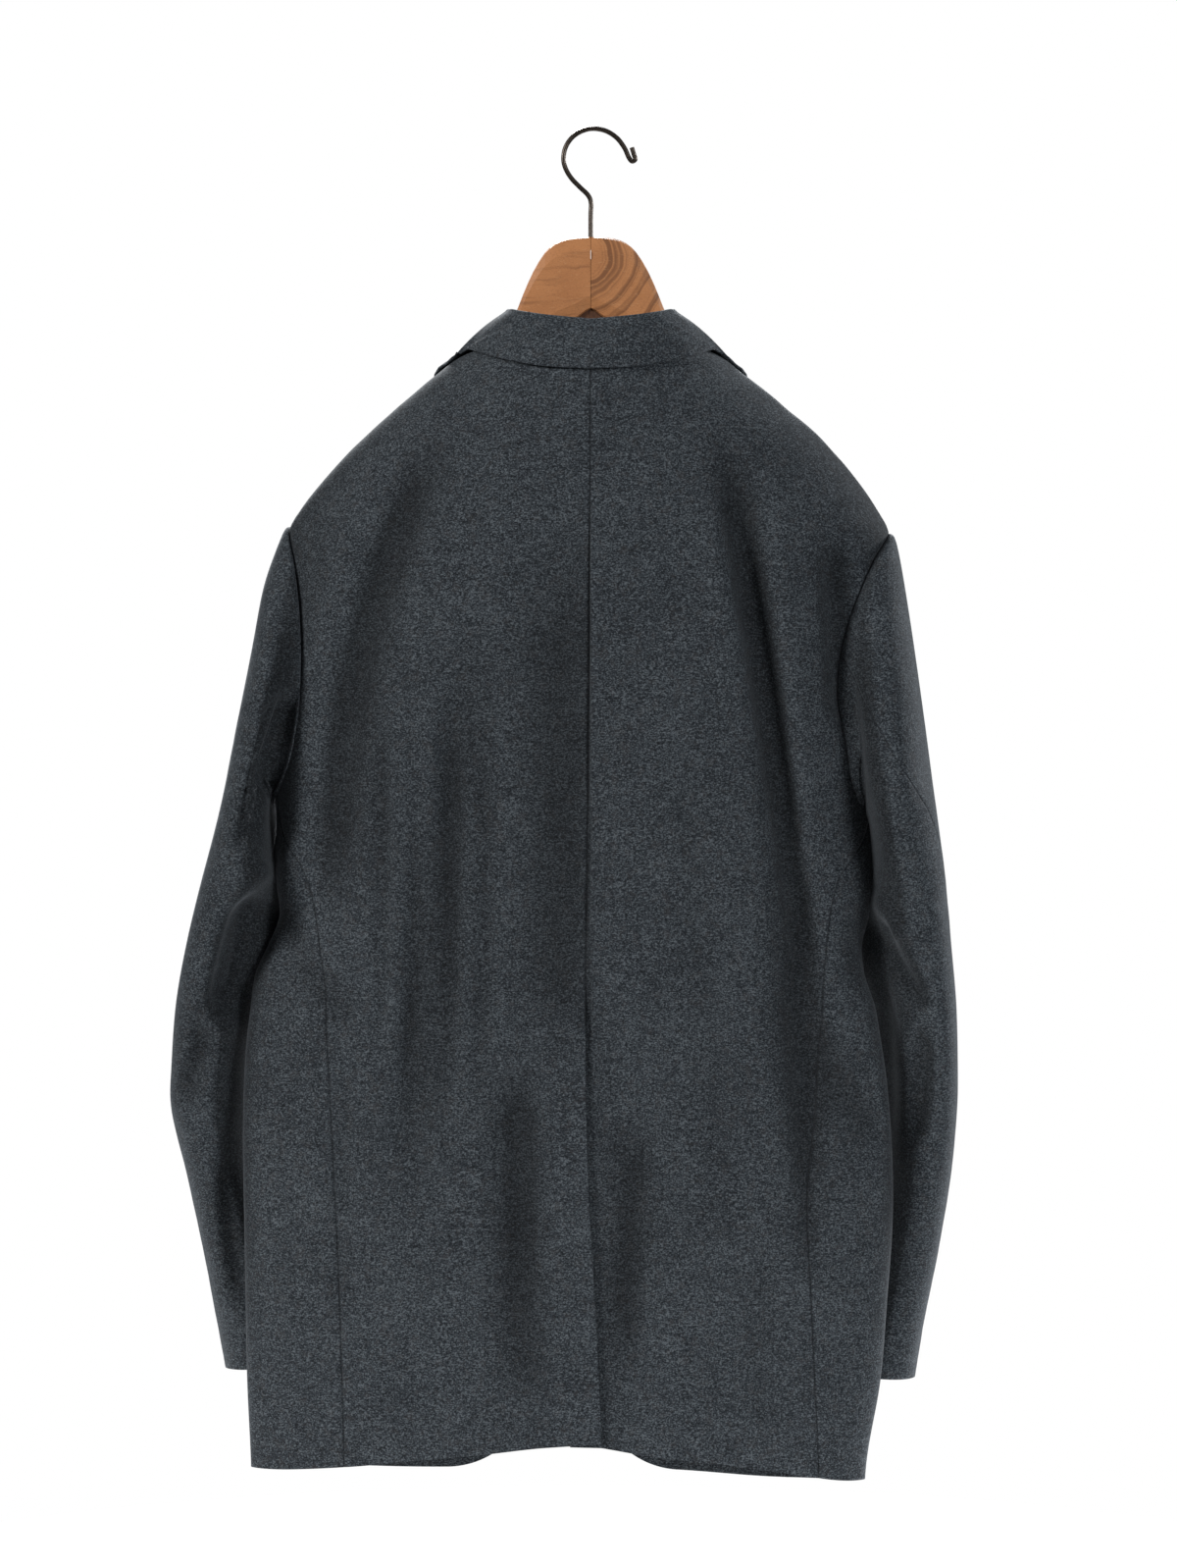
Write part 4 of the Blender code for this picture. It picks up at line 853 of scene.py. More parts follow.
def back_domain(side, lap=0.0):
    """The back panel: centre seam, side seam with armhole, hem, and neck with shoulder."""
    foot = float(hem(side, 0.0)) + (1.5 if lap else 0.0)

    def left(v):
        z = foot + (NECK_BACK - foot) * v
        return angle_behind(side, section("seam", z) + lap * smooth((VENT_TOP - 4 - z) / 26), z), z

    start, stop = float(left(0.0)[0]), float(side_seam(side, hem_corner(side, side_seam)))

    def bottom(u):
        a = start + (stop - start) * u
        return a, hem(side, np.clip(a, 0, None)) + (foot - float(hem(side, max(start, 0.0)))) * (1 - u) ** 4

    nx, nz = NECK_POINT[side]
    turn = NECK_COLUMNS / BACK_COLUMNS
    seam_x = section("seam", NECK_BACK)

    def top(u):
        t = np.clip(u / turn, 0, 1)
        neck_z = NECK_BACK + (nz - NECK_BACK) * smooth(t)
        neck_a = angle_behind(side, seam_x + (nx - seam_x) * t, neck_z)
        ridge_z = nz + (SHOULDER_TIP[side] - nz) * np.clip((u - turn) / (1 - turn), 0, 1)
        return np.where(t >= 1 - NEAR, BESIDE, neck_a), np.where(u <= turn, neck_z, ridge_z)

    return left, armhole_side(side, side_seam, 0, SIDE_TURN), bottom, top


def in_x(side, lines, u, v, convert):
    """A patch laid out in x and height, so that its rows stay even, then turned into angles."""

    def seen(line):
        def moved(t):
            a, z = line(t)
            return torso(side, a, z)[..., 0], z

        return moved

    flat = coons(*(seen(line) for line in lines), u, v)
    grid = np.stack([convert(side, flat[..., 0], flat[..., 1]), flat[..., 1]], -1)
    edges = (np.stack(line(t), -1) for line, t in zip(lines, (v, v, u, u)))
    grid[0], grid[-1], grid[:, 0], grid[:, -1] = edges
    return grid


def front_edge(side, z):
    angle = angle_before(side, section("middle", z) + side * gap(z), z)
    return np.where(z >= NECK_POINT[side][1] - 1e-6, BESIDE, angle)


def front_domain(side):
    """The front panel: side seam with armhole, front edge with its corner, hem, and shoulder."""
    neck = NECK_POINT[side][1]
    foot = float(hem(side, np.radians(172.0)))  # height of the hem under the front edge
    over = foot + CORNER

    def corner(t):
        """Round the front's corner: t is 0 on the hem and 1 on the edge."""
        turn = t * math.pi / 2
        x = section("middle", over) + side * gap(over) + side * CORNER * (1 - np.sin(turn))
        z = foot + CORNER * (1 - np.cos(turn))
        return angle_before(side, x, z), z

    def inner(v):
        k = v * ROWS
        corner_a, corner_z = corner(0.5 + 0.5 * np.clip(k / CORNER_ROWS, 0, 1))
        z = over + (neck - over) * np.clip((k - CORNER_ROWS) / (ROWS - CORNER_ROWS), 0, 1)
        in_corner = k <= CORNER_ROWS + NEAR
        return np.where(in_corner, corner_a, front_edge(side, z)), np.where(in_corner, corner_z, z)

    start, stop = float(front_seam(side, hem_corner(side, front_seam))), float(corner(0.0)[0])
    straight = RIDGE_COLUMNS - CORNER_COLUMNS

    def bottom(u):
        k = u * RIDGE_COLUMNS
        corner_a, corner_z = corner(0.5 * np.clip((k - straight) / CORNER_COLUMNS, 0, 1))
        share = np.clip(k / straight, 0, 1)
        a, ease = start + (stop - start) * share, share**2
        z = hem(side, a) * (1 - ease) + foot * ease
        in_corner = k >= straight - NEAR
        return np.where(in_corner, corner_a, a), np.where(in_corner, corner_z, z)

    def top(u):
        return np.full(u.shape, BESIDE), SHOULDER_TIP[side] + (neck - SHOULDER_TIP[side]) * u

    return armhole_side(side, front_seam, 360, -FRONT_TURN), inner, bottom, top


def edge_levels(side):
    """Heights of the corners up a front's edge, from the neck point down."""
    return front_domain(side)[1](np.linspace(0, 1, ROWS + 1))[1][::-1]


def edge_chain(side, z):
    """Points on a front's edge, with the ways out of the edge and of the cloth."""
    levels = edge_levels(side)[::-1]
    a = front_edge(side, levels)
    p, out = (
        np.stack([np.interp(z, levels, values[:, k]) for k in range(3)], -1)
        for values in (body(side, a, levels), across(body, side, a, levels))
    )
    out = unit(out)
    u = unit(np.cross(out, np.gradient(p, axis=0)))
    return p, u * np.sign(-side * u[:, :1]), out


def collar_chain(side):
    """The neck edge from centre back to the gorge: points, ways out of the cloth, stations."""
    back_a, back_z = back_domain(side)[3](np.linspace(0, NECK_COLUMNS / BACK_COLUMNS, NECK_COLUMNS + 1))
    front_z = edge_levels(side)[1 : GORGE_NODE + 1]
    angle, z = np.concatenate([back_a, front_edge(side, front_z)]), np.concatenate([back_z, front_z])
    neck = NECK_POINT[side][1]
    front = NECK_STATION + (1 - NECK_STATION) * (neck - front_z) / (neck - front_z[-1])
    station = np.concatenate([np.linspace(0, NECK_STATION, NECK_COLUMNS + 1), front])
    return body(side, angle, z), across(body, side, angle, z), station


def draw_back(points, sides):
    """The grid with the named edges moved towards its inside by half a seam's gap."""
    moved = points.copy()
    for side in sides:
        axis, at, inner = "uv".index(side[0]), *((0, 1) if side[1] == "0" else (-1, -2))
        old = np.moveaxis(points, axis, 0)
        np.moveaxis(moved, axis, 0)[at] += unit(old[inner] - old[at]) * HALF_GAP
    return moved


def armhole_turns():
    """Turns of the corners round the armhole, shared with the panels it is cut from."""
    front = 360 - FRONT_TURN
    runs = ((0, SIDE_TURN, ARM_ROWS), (SIDE_TURN, front, UNDER_COLUMNS), (front, 360, ARM_ROWS))
    return np.concatenate([[0.0]] + [np.linspace(a, b, n + 1)[1:] for a, b, n in runs])


def armhole_ring(side, turn):
    """Points that lap the armhole's edge by a little less than a seam does."""
    step, less = 0.5, 0.05

    def at(t):
        return body(side, *armhole(side, np.mod(t, 360.0)))

    out = across(body, side, *armhole(side, np.mod(turn, 360.0)))
    u = unit(np.cross(out, at(turn + step) - at(turn - step)))
    p = at(turn)
    u *= np.sign((u * (at(QUARTERS).mean(0) - p)).sum(-1, keepdims=True))
    return p + u * (HALF_GAP + less)


def guide(side, f, name):
    """One column of a sleeve's sections, at a fractional section; section 0 is the armhole."""
    corner, axis = name.split("_")
    ring = body(side, *armhole(side, QUARTERS))
    first = ring[("out", "back", "in", "front").index(corner), "xyz".index(axis)]
    k = SLEEVE_COLUMNS.index(name)
    rows = [(0.0, first)] + [(i + 1.0, row[k]) for i, row in enumerate(SLEEVES[side])]
    return read(rows, ("row", "value"), "value", f)


def tube(side, f, turn):
    """The plain sleeve: f counts sections from the armhole, turn as round the armhole."""
    f, turn = np.broadcast_arrays(np.asarray(f, float), np.asarray(turn, float))
    g = {name: guide(side, f, name) for name in SLEEVE_COLUMNS}
    mid_y, mid_z = (g["back_y"] + g["front_y"]) / 2, (g["out_z"] + g["in_z"]) / 2
    o = np.stack([g["out_x"], mid_y, g["out_z"]], -1)
    i = np.stack([g["in_x"], mid_y, g["in_z"]], -1)
    b = np.stack([g["back_x"], g["back_y"], mid_z], -1)
    r = np.stack([g["front_x"], g["front_y"], mid_z], -1)
    t = np.radians(turn)
    full = 2.3  # 2 is an ellipse, more is fuller
    k = (np.abs(np.cos(t)) ** full + np.abs(np.sin(t)) ** full) ** (-1 / full)
    c, s = (np.cos(t) * k)[..., None], (np.sin(t) * k)[..., None]
    lean = np.cos(2 * t)[..., None] * ((o + i) - (b + r)) / 4
    return (o + i + b + r) / 4 + c * (o - i) / 2 + s * (b - r) / 2 + lean


def across_sleeve(side, f, turn):
    """The direction straight out of the plain sleeve."""
    rows, swing = 0.04, 0.6
    low, high = np.minimum(f + rows, len(SLEEVES[side])), np.maximum(f - rows, 0.0)
    down = tube(side, low, turn) - tube(side, high, turn)
    along = tube(side, f, turn + swing) - tube(side, f, turn - swing)
    return unit(np.cross(down, along) * side)


def sleeve(side, f, turn):
    """The sleeve with its folds, starting exactly from the armhole."""
    f, turn = np.broadcast_arrays(np.asarray(f, float), np.asarray(turn, float))
    from_tube = armhole_ring(side, turn) - tube(side, np.zeros(f.shape), turn)
    p = tube(side, f, turn) + from_tube * (1 - smooth(f / 3.0))[..., None]
    facing = across_sleeve(side, f, turn)
    lift = folded(SLEEVE_FOLDS, p) * smooth(facing[..., 1] / 0.35) * smooth(f / 2.0)
    return p + facing * lift[..., None]


def crossed(points):
    return np.cross(np.gradient(points, axis=0), np.gradient(points, axis=1))


def normals(points, towards):
    """Directions out of a grid of points, on the same side as those given."""
    out = unit(crossed(points))
    return out * np.sign((out * towards).sum(-1, keepdims=True) + NEAR)


def outwards(points, first):
    """Directions out of a rolled sheet, whose first line of points faces as given."""
    out = crossed(points)
    return out * np.sign((out[:, 1] * first).sum())


def refine(points, count, axis):
    """A grid of points with more of them along one axis, on smooth lines through those given."""
    p = np.moveaxis(points, axis, 0)
    at = np.linspace(0, len(p) - 1, count)
    i = np.minimum(at.astype(int), len(p) - 2)
    m = np.gradient(p, axis=0)
    return np.moveaxis(bent((at - i)[:, None, None], p[i], p[i + 1], m[i], m[i + 1]), 0, axis)


def soften(values, times):
    for _ in range(times):
        inner = (values[:-2] + 2 * values[1:-1] + values[2:]) / 4
        values = np.concatenate([values[:1], inner, values[-1:]])
    return values


def steps(*runs):
    """Places from 0 to 1, so many between each two marks, closer together at both ends."""
    at = np.concatenate([np.linspace(a, b, n + 1)[:-1] for a, b, n in runs] + [[1.0]])
    close = np.array([0.14, 0.34, 0.62])
    return np.sort(np.concatenate([at, at[1] * close, 1 - (1 - at[-2]) * close]))


def from_edge(points, name):
    """How far each point of a grid lies from its named edge, along the cloth."""
    axis = "uv".index(name[0])
    far = np.cumsum(np.linalg.norm(np.diff(points, axis=axis), axis=-1), axis=axis)
    far = np.concatenate([np.zeros_like(np.take(far, [0], axis)), far], axis)
    return far if name[1] == "0" else np.take(far, [-1], axis) - far


def wander(s, seed, lengths=(23.0, 41.0, 67.0)):
    """A slow uneven wave along a seam, between -1 and 1."""
    turn = np.random.default_rng(seed).uniform(0, 2 * math.pi, len(lengths))
    return sum(np.sin(2 * math.pi * s / n + a) for n, a in zip(lengths, turn)) / len(lengths)


def sewn(points, out, seams, seed, pucker=0.35):
    """The cloth drawn in along its seams, and how near each point is to one, 0 to 1, which sets the painted
    shade in the seams' grooves.
    """
    lift, seam_shade = np.zeros(points.shape[:-1]), np.zeros(points.shape[:-1])
    for n, (name, share) in enumerate(seams):
        far = from_edge(points, name)
        along = from_edge(points, "v0" if name[0] == "u" else "u0")
        share = share(points) if callable(share) else share
        lift -= share * DIP[0] * np.exp(-((far / DIP[1]) ** 2))
        lift += share * RIDGE[0] * np.exp(-(((far - RIDGE[2]) / RIDGE[1]) ** 2))
        lift += share * pucker * wander(along, seed + n) * np.exp(-far / PUCKER_REACH) * smooth(far / 3.0)
        seam_shade = np.maximum(seam_shade, share * np.exp(-((far / GROOVE) ** 2)))
    return points + out * lift[..., None], seam_shade


# ---- pieces -----------------------------------------------------------------------------

SEWN_IN = 0.1  # how far an edge that is sewn to another piece starts from it
LAPEL_ROWS, ROLL_STEPS, LAPEL_STEPS = 84, 12, 34
ROLL_RADIUS, ROLL_EASES = 4.8, 2.0  # of the lapel's roll at the top, and how much smaller at its end
ON_FRONT = WALL + 1.3  # the lapel's height over the front that it lies on
ON_BODY = WALL + 1.2  # and that of the collar's edge over the shoulders
LEAST = WALL + 1.0  # nothing of the collar's fall comes closer than this
COLLAR_STEPS, COLLAR_LINES, FALL_START = 121, 55, 28  # along, across, and the line where its fall starts
TURNED, SUNK = 3.0, 2.2  # half the width of the collar's fold, and how far it is below the top
COLLAR_BULGE = 2.6


def add_object(name, mesh, material):
    mesh.materials.clear()
    mesh.materials.append(material)
    obj = bpy.data.objects.new(name, mesh)
    collection.objects.link(obj)
    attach(obj, "root")
    return obj


def cloth(node, points, out, seam_shade, painted_shade=0.0):
    """A sheet on a grid of points, given its wall inwards; it stands for the solid of that name."""
    size = [count - 1 for count in seam_shade.shape]
    bm = bmesh.new()
    bmesh.ops.create_grid(bm, x_segments=size[0], y_segments=size[1], size=1.0)
    bm.verts.ensure_lookup_table()
    i, j = np.rint((np.array([vert.co[:2] for vert in bm.verts]) + 1) / 2 * size).astype(int).T
    for vert, place in zip(bm.verts, points[i, j]):
        vert.co = place
    mesh = mesh_of(bm, node + "_cloth")
    corners = np.empty(len(mesh.loops), int)
    mesh.loops.foreach_get("vertex_index", corners)
    uv = np.stack([from_edge(points, name)[i, j] for name in ("u0", "v0")], -1) * MM
    layer = mesh.uv_layers[0] if mesh.uv_layers else mesh.uv_layers.new(name="UVMap")
    layer.data.foreach_set("uv", uv[corners].ravel())
    # Both attributes are painted shade, read by the flannel: along the seams' grooves, and in folds and
    # between parts.
    for name, values in (("seam", seam_shade), ("painted_shade", np.clip(painted_shade + 0 * seam_shade, 0, 1))):
        attribute = mesh.attributes.new(name, "FLOAT", "POINT")
        attribute.data.foreach_set("value", values[i, j].astype(np.float32))
    if (crossed(points) * out).sum() < 0:
        mesh.flip_normals()
    mesh.shade_smooth()
    obj = add_object(node + "_cloth", mesh, wool)
    wall = obj.modifiers.new("wall", "SOLIDIFY")
    wall.thickness = WALL * MM
    wall.offset = -1.0
    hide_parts(node)


def body_cloth(node, side, domain, seams, drawn, seed, lift=None):
    angle, z = domain[..., 0], domain[..., 1]
    plain = body(side, angle, z)
    out = normals(plain, across(torso, side, angle, z))
    rise = creased("body", plain, out) + (lift(plain) if lift else 0.0)
    # Painted shade: deeper folds darker, and the body's sides where the sleeves hang darker.
    painted_shade = -(rise + body_folds(angle, plain)) / DEEP_IN_BODY
    shade_beside = smooth((side * out[..., 0] - 0.45) / 0.4) * smooth((z + 900) / 120)
    points, seam_shade = sewn(draw_back(plain + out * rise[..., None], drawn), out, seams, seed)
    cloth(node, points, normals(points, out), seam_shade, np.maximum(painted_shade, 0.9 * shade_beside))


def sewn_above_vent(points):
    return smooth((points[..., 2] - VENT_TOP) / 6.0)


def backs():
    neck = NECK_COLUMNS / BACK_COLUMNS
    u, v = steps((0, neck, 36), (neck, 1, 66)), steps((0, SPLIT, 84), (SPLIT, 1, 70))
    seams = (("u0", sewn_above_vent), ("u1", 1.0), ("v1", 0.6))
    for side, word in WORDS.items():

        def lift(p, side=side):
            """The vent: the left back lies over the right one."""
            below = smooth((VENT_TOP + 40 - p[..., 2]) / 40)
            beyond = side * (section("seam", p[..., 2]) - p[..., 0])
            if side > 0:
                return 1.0 * below * smooth((52 + beyond) / 28)
            return -2.2 * below * smooth((32 + beyond) / 28)

        domain = in_x(side, back_domain(side, VENT_LAP if side < 0 else 0.0), u, v, angle_behind)
        body_cloth("back_" + word, side, domain, seams, ("u0", "u1", "v1"), 10 + side, lift)


def sides():
    seams = (("u0", 1.0), ("u1", 1.0), ("v1", 0.6))
    first, last = SIDE_TURN, 360 - FRONT_TURN
    for side, word in WORDS.items():

        def seam(function, turn, side=side):
            def line(v):
                low = hem_corner(side, function)
                z = low + (armhole(side, turn)[1] - low) * v
                return function(side, z), z

            return line

        left, right = seam(side_seam, first), seam(front_seam, last)

        def bottom(u, side=side, left=left, right=right):
            start, stop = float(left(0.0)[0]), float(right(0.0)[0])
            angle = start + (stop - start) * u
            return angle, hem(side, angle)

        def top(u, side=side):
            return armhole(side, first + (last - first) * u)

        domain = coons(left, right, bottom, top, steps((0, 1, 44)), steps((0, 1, 90)))
        body_cloth("side_" + word, side, domain, seams, ("u0", "u1", "v1"), 20 + side)


def fronts():
    corner, flat = CORNER_ROWS / ROWS, (RIDGE_COLUMNS - CORNER_COLUMNS) / RIDGE_COLUMNS
    u = steps((0, flat, 60), (flat, 1, 22))
    v = steps((0, corner, 12), (corner, SPLIT, 72), (SPLIT, 1, 66))
    for side, word in WORDS.items():
        domain = in_x(side, front_domain(side), u, v, angle_before)
        seams = (("u0", 1.0), ("v1", 1.0))
        body_cloth("front_" + word, side, domain, seams, ("u0", "u1", "v1"), 30 + side)


def on_front(side, x, z):
    """Points on a creased front, and the ways out there."""
    a = angle_before(side, x, z)
    p, out = body(side, a, z), across(body, side, a, z)
    return p + out * creased("body", p, out)[:, None], out


def lapels():
    for side, word in WORDS.items():
        top = edge_levels(side)[GORGE_NODE] - 1.8
        z = np.linspace(top, LAPEL_END, LAPEL_ROWS)
        p, u, out = edge_chain(side, z)
        drop = (top - z) / (top - LAPEL_END)
        r = ROLL_RADIUS - ROLL_EASES * drop
        foot = p + u * SEWN_IN + (r - WALL)[:, None] * out
        lines = []
        for turn in np.radians(np.linspace(-90, 90, ROLL_STEPS)):
            lines.append(foot + r[:, None] * (math.cos(turn) * u + math.sin(turn) * out))
        reach = read(LAPELS, LAPEL_COLUMNS, "reach", z)
        tilt = -0.07 + 0.16 * smooth(drop / 0.2)
        for t in np.linspace(0, 1, LAPEL_STEPS)[2:]:
            base, up = on_front(side, p[:, 0] + side * reach * t, z + reach * t * tilt)
            left = (1 - t) ** 1.5
            height = (2 * r - WALL) * left + ON_FRONT * (1 - left) + 2.0 * t * (1 - t)
            lines.append(base + up * height[:, None])
        points = np.stack(lines, axis=1)
        facing = normals(points, outwards(points, -out))
        points, seam_shade = sewn(points, facing, (("u0", 1.0),), 40 + side)
        cloth("lapel_" + word, points, facing, seam_shade)


def whole_neck():
    """The neck edge from the left gorge to the right: points, ways out, stations and ways up."""
    (p, out, station), right = collar_chain(1), collar_chain(-1)
    p, out = (np.concatenate([a[::-1], b[1:]]) for a, b in ((p, right[0]), (out, right[1])))
    station = np.concatenate([station[::-1], -right[2][1:]])
    at = np.linspace(0, len(p) - 1, COLLAR_STEPS)
    station = np.interp(at, np.arange(len(station)), station)
    p, out = (refine(values[:, None], COLLAR_STEPS, 0)[:, 0] for values in (p, out))
    out = unit(out)
    u = unit(np.cross(np.gradient(p, axis=0), out))
    return p, out, station, u * np.sign(u[COLLAR_STEPS // 2, 2])


def collar():
    p, out, station, u = whole_neck()
    side, far = np.sign(station + NEAR), np.abs(station)
    top_x, top_y, top_z, edge_x, edge_z = (
        read(COLLAR, COLLAR_COLUMNS, name, far) for name in COLLAR_COLUMNS[1:]
    )
    top = np.stack([side * top_x + 1.0, top_y, top_z], -1)
    edge_x = side * edge_x + 1.0
    rim = np.empty_like(p)
    for s in WORDS:
        for angle_of, here in ((angle_behind, far <= NECK_STATION), (angle_before, far > NECK_STATION)):
            k = here & (side == s)
            a = angle_of(s, edge_x[k], edge_z[k])
            rim[k] = body(s, a, edge_z[k]) + across(body, s, a, edge_z[k]) * ON_BODY
    rim = soften(rim, 2)
    start = p + u * SEWN_IN - out * WALL
    flat = soften(unit((rim - top) * (1, 1, 0)), 3)
    up = np.array([0, 0, 1.0])
    inner, outer = top - flat * TURNED - up * SUNK, top + flat * TURNED - up * SUNK
    lines = [start, start * 0.66 + inner * 0.34, start * 0.33 + inner * 0.67, inner, top, outer]
    for t in (0.28, 0.52, 0.76, 1.0):
        bulge = COLLAR_BULGE * math.sin(math.pi * min(t, 0.98)) ** 0.8
        lines.append(outer * (1 - t) + rim * t + (flat * 0.75 + up * 0.5) * bulge)
    points = refine(np.stack(lines, axis=1), COLLAR_LINES, 1)
    for s in WORDS:
        for angle_of, share in ((angle_behind, (0.75 - far) / 0.15), (angle_before, (far - 0.5) / 0.15)):
            k = (share > 0) & (side == s)
            q = points[k][:, FALL_START:]
            a = angle_of(s, q[..., 0], q[..., 2])
            base, lift = body(s, a, q[..., 2]), across(body, s, a, q[..., 2])
            close = np.maximum(0.0, LEAST - ((q - base) * lift).sum(-1))
            points[k, FALL_START:] = q + lift * (close * smooth(share[k])[:, None])[..., None]
    facing = normals(points, outwards(points, -out))
    points, seam_shade = sewn(points, facing, (("u0", 1.0), ("u1", 1.0), ("v0", 1.0)), 50, 0.2)
    cloth("collar", points, facing, seam_shade)


def sleeves():
    turns = armhole_turns()
    fore = UNDER_COLUMNS + ARM_ROWS
    for side, word in WORDS.items():
        f = steps((0, 0.2, 36), (0.2, 1, 110)) * len(SLEEVES[side])
        hind = read(list(enumerate(HIND_TURNS[side])), ("row", "turn"), "turn", f)
        front = turns[fore] + (FORE_TURN - turns[fore]) * smooth(f / 4.0)
        ease = smooth(f / 2.5)[:, None]

        def spread(nodes, start, stop, count):
            """Ring 0 keeps the armhole's corners; further down they space out evenly."""
            even = steps((0, 1, count))
            fine = np.interp(even * (len(nodes) - 1), np.arange(len(nodes)), nodes)
            share = (fine - nodes[0]) / (nodes[-1] - nodes[0])
            mix = share[None] * (1 - ease) + even[None] * ease
            return start[:, None] + (stop - start)[:, None] * mix

        over = np.concatenate([turns[fore:], turns[1 : HIND_NODE + 1] + 360])
        halves = {
            "top": spread(over, front, hind + 360, 80),
            "under": spread(turns[HIND_NODE : fore + 1], hind, front, 64),
        }
        for n, (half, turn) in enumerate(halves.items()):
            rows = np.broadcast_to(f[:, None], turn.shape)
            plain = sleeve(side, rows, turn)
            out = normals(plain, across_sleeve(side, rows, turn))
            rise = creased("sleeve_" + word, plain, out) * smooth(rows)
            # Painted shade: deeper folds darker, and the sleeve's side facing the body darker.
            folds = folded(SLEEVE_FOLDS, plain) * smooth(out[..., 1] / 0.35)
            shade_beside = smooth((-side * out[..., 0] - 0.15) / 0.4) * smooth(rows / 2.0)
            points = draw_back(plain + out * rise[..., None], ("v0", "v1"))
            points, seam_shade = sewn(points, out, (("u0", 0.6), ("v0", 0.8), ("v1", 0.8)), 60 + 3 * side + n)
            painted_shade = np.maximum(-(rise + folds) / DEEP_IN_SLEEVE, shade_beside)
            cloth(f"{half}_sleeve_{word}", points, normals(points, out), seam_shade, painted_shade)


# ---- hanger, hook, buttons --------------------------------------------------------------

TONGUE_SIZE, TONGUE_LEVEL = (22.0, 5.0, 50.0), -118.0
BUTTON_RINGS = (  # radius and height, from the underside's edge over the rim to the middle
    (9.1, 0.0), (9.9, 0.8), (10.0, 2.3), (9.5, 3.2), (8.6, 3.6), (7.6, 3.2), (6.9, 2.7), (0.0, 2.6),
)
HOLE_PLACE, HOLE_RADIUS = 1.9, 0.85
FROM_EDGE = 17.0  # buttons and buttonholes, from the front's edge
STITCH, STITCH_HEIGHT, STITCH_RADIUS = 0.2, 3.1, 0.38  # where a thread starts, and how high it runs
SLIT_LENGTH, SLIT_WIDTH, EYELET, PURL_RADIUS = 22.0, 1.5, 1.1, 0.55
CREASE_ANGLE = math.radians(50)


def swept(name, points, radius, material, closed=False):
    """A round wire or thread along points, as a mesh."""
    curve = bpy.data.curves.new(name, "CURVE")
    curve.dimensions = "3D"
    curve.bevel_depth = radius
    curve.bevel_resolution = 5
    curve.use_fill_caps = not closed
    spline = curve.splines.new("POLY")
    spline.points.add(len(points) - 1)
    spline.points.foreach_set("co", np.concatenate([points, np.ones((len(points), 1))], 1).ravel())
    spline.use_cyclic_u = closed
    made = bpy.data.objects.new(name, curve)
    bm = bmesh.new()
    bm.from_mesh(made.to_mesh())
    bpy.data.objects.remove(made)
    bpy.data.curves.remove(curve)
    return add_smooth(bm, name, material)


def add_smooth(bm, name, material):
    bmesh.ops.remove_doubles(bm, verts=bm.verts, dist=1e-3)
    bmesh.ops.recalc_face_normals(bm, faces=bm.faces)
    mesh = mesh_of(bm, name)
    mesh.shade_smooth()
    mesh.set_sharp_from_angle(angle=CREASE_ANGLE)
    return add_object(name, mesh, material)


def hook():
    rows = [(n, *point) for n, point in enumerate(HOOK_PATH)]
    at = np.linspace(0, len(rows) - 1, 190)
    x, z = (read(rows, ("n", "x", "z"), name, at) for name in "xz")
    wire = swept("hook_wire", np.stack([x, 0 * x, z], -1), WIRE / 2, wire_finish())
    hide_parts("hook")


def joint_tongue():
    """The thin dark tongue that closes the joint between the two arms."""
    bm = bmesh.new()
    bmesh.ops.create_cube(bm, size=1.0)
    bmesh.ops.scale(bm, verts=bm.verts, vec=TONGUE_SIZE)
    bmesh.ops.translate(bm, verts=bm.verts, vec=(HOOK_PATH[0][0], 0, TONGUE_LEVEL))
    add_object("joint_tongue", mesh_of(bm, "joint_tongue"), dark_wood())


def pierced(button, turned, place):
    """The button with its four holes cut."""
    bm = bmesh.new()
    for x in (-HOLE_PLACE, HOLE_PLACE):
        for y in (-HOLE_PLACE, HOLE_PLACE):
            made = bmesh.ops.create_cone(
                bm, cap_ends=True, segments=20, radius1=HOLE_RADIUS, radius2=HOLE_RADIUS, depth=12.0
            )
            bmesh.ops.translate(bm, verts=made["verts"], vec=(x, y, 2.0))
    bmesh.ops.transform(bm, matrix=turned, verts=bm.verts)
    bmesh.ops.translate(bm, verts=bm.verts, vec=place)
    holes = bpy.data.objects.new("holes", mesh_of(bm, "holes"))
    collection.objects.link(holes)
    cut = button.modifiers.new("holes", "BOOLEAN")
    cut.operation, cut.object, cut.solver = "DIFFERENCE", holes, "EXACT"
    with bpy.context.temp_override(object=button, active_object=button):
        bpy.ops.object.modifier_apply(modifier=cut.name)
    bpy.data.objects.remove(holes)


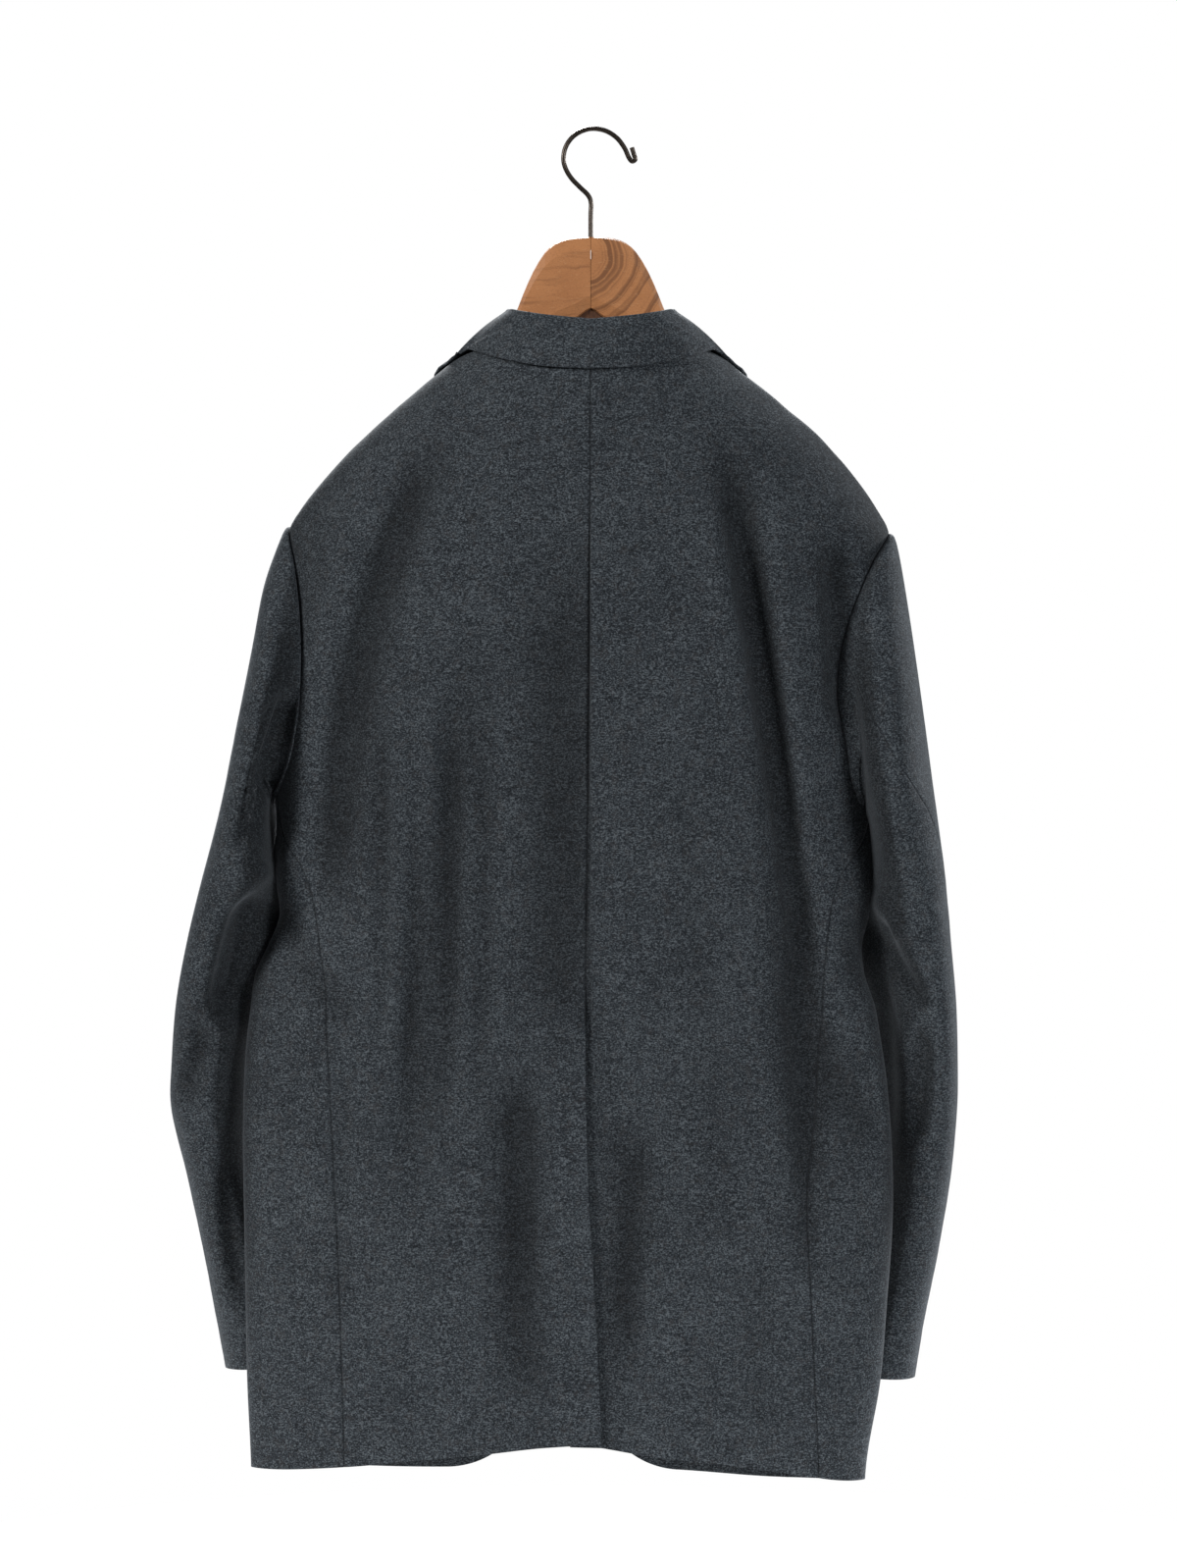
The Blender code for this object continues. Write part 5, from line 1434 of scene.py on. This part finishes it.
def sew_on(word, turned, place, silk):
    """The two crossed threads of a button."""
    for n, across_y in enumerate((1, -1)):
        line = []
        for t in np.linspace(0, 1, 17):
            x = (2 * t - 1) * HOLE_PLACE
            z = STITCH + STITCH_HEIGHT * min(1.0, 4.5 * min(t, 1 - t)) + 0.25 * n
            line.append(np.array(turned @ Vector((x, x * across_y, z))) + place)
        swept(f"button_thread_{word}_{n + 1}", np.array(line), STITCH_RADIUS, silk)


def buttons():
    material, silk = horn(), thread_finish()
    loop = np.linspace(0, 2 * math.pi, 49)[:-1]
    for word, z in zip(("top", "low"), BUTTON_Z):
        middle, out_by = float(section("middle", z)), float(gap(z)) + FROM_EDGE
        place, out = (values[0] for values in on_front(-1, np.array([middle - out_by]), np.array([z])))
        place = place + out * 0.5
        turned = Vector((0, 0, 1)).rotation_difference(Vector(out)).to_matrix().to_4x4()
        bm = bmesh.new()
        ring = [bm.verts.new((radius, 0, height)) for radius, height in BUTTON_RINGS]
        centre = bm.verts.new((0, 0, 0))
        edges = [bm.edges.new(pair) for pair in (*zip(ring, ring[1:]), (ring[0], centre))]
        bmesh.ops.spin(
            bm, geom=ring + edges + [centre], cent=(0, 0, 0), axis=(0, 0, 1), steps=64,
            angle=2 * math.pi, use_merge=True,
        )
        bmesh.ops.transform(bm, matrix=turned, verts=bm.verts)
        bmesh.ops.translate(bm, verts=bm.verts, vec=place)
        button = add_smooth(bm, "horn_button_" + word, material)
        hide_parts("button_" + word)
        pierced(button, turned, place)
        sew_on(word, turned, place, silk)
        x = SLIT_LENGTH / 2 * np.cos(loop)
        y = SLIT_WIDTH / 2 * np.sin(loop) * (1 + EYELET * smooth((-x - 7) / 4.0))
        p, out = on_front(1, middle + out_by + x, z + y)
        swept("buttonhole_" + word, p + out * 0.35, PURL_RADIUS, silk, closed=True)


collection = bpy.data.collections.new("tailored_jacket")
bpy.context.scene.collection.children.link(collection)
bpy.context.scene.view_settings.view_transform = "Standard"
wool = flannel()
for made in (set_camera, set_lights, set_floor, backs, sides, fronts, lapels, collar, sleeves):
    made()
for made in (hook, joint_tongue, buttons):
    made()
for side, word in WORDS.items():
    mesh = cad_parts["hanger_" + word].data
    mesh.materials.clear()
    mesh.materials.append(wood("oiled_wood_" + word, side))
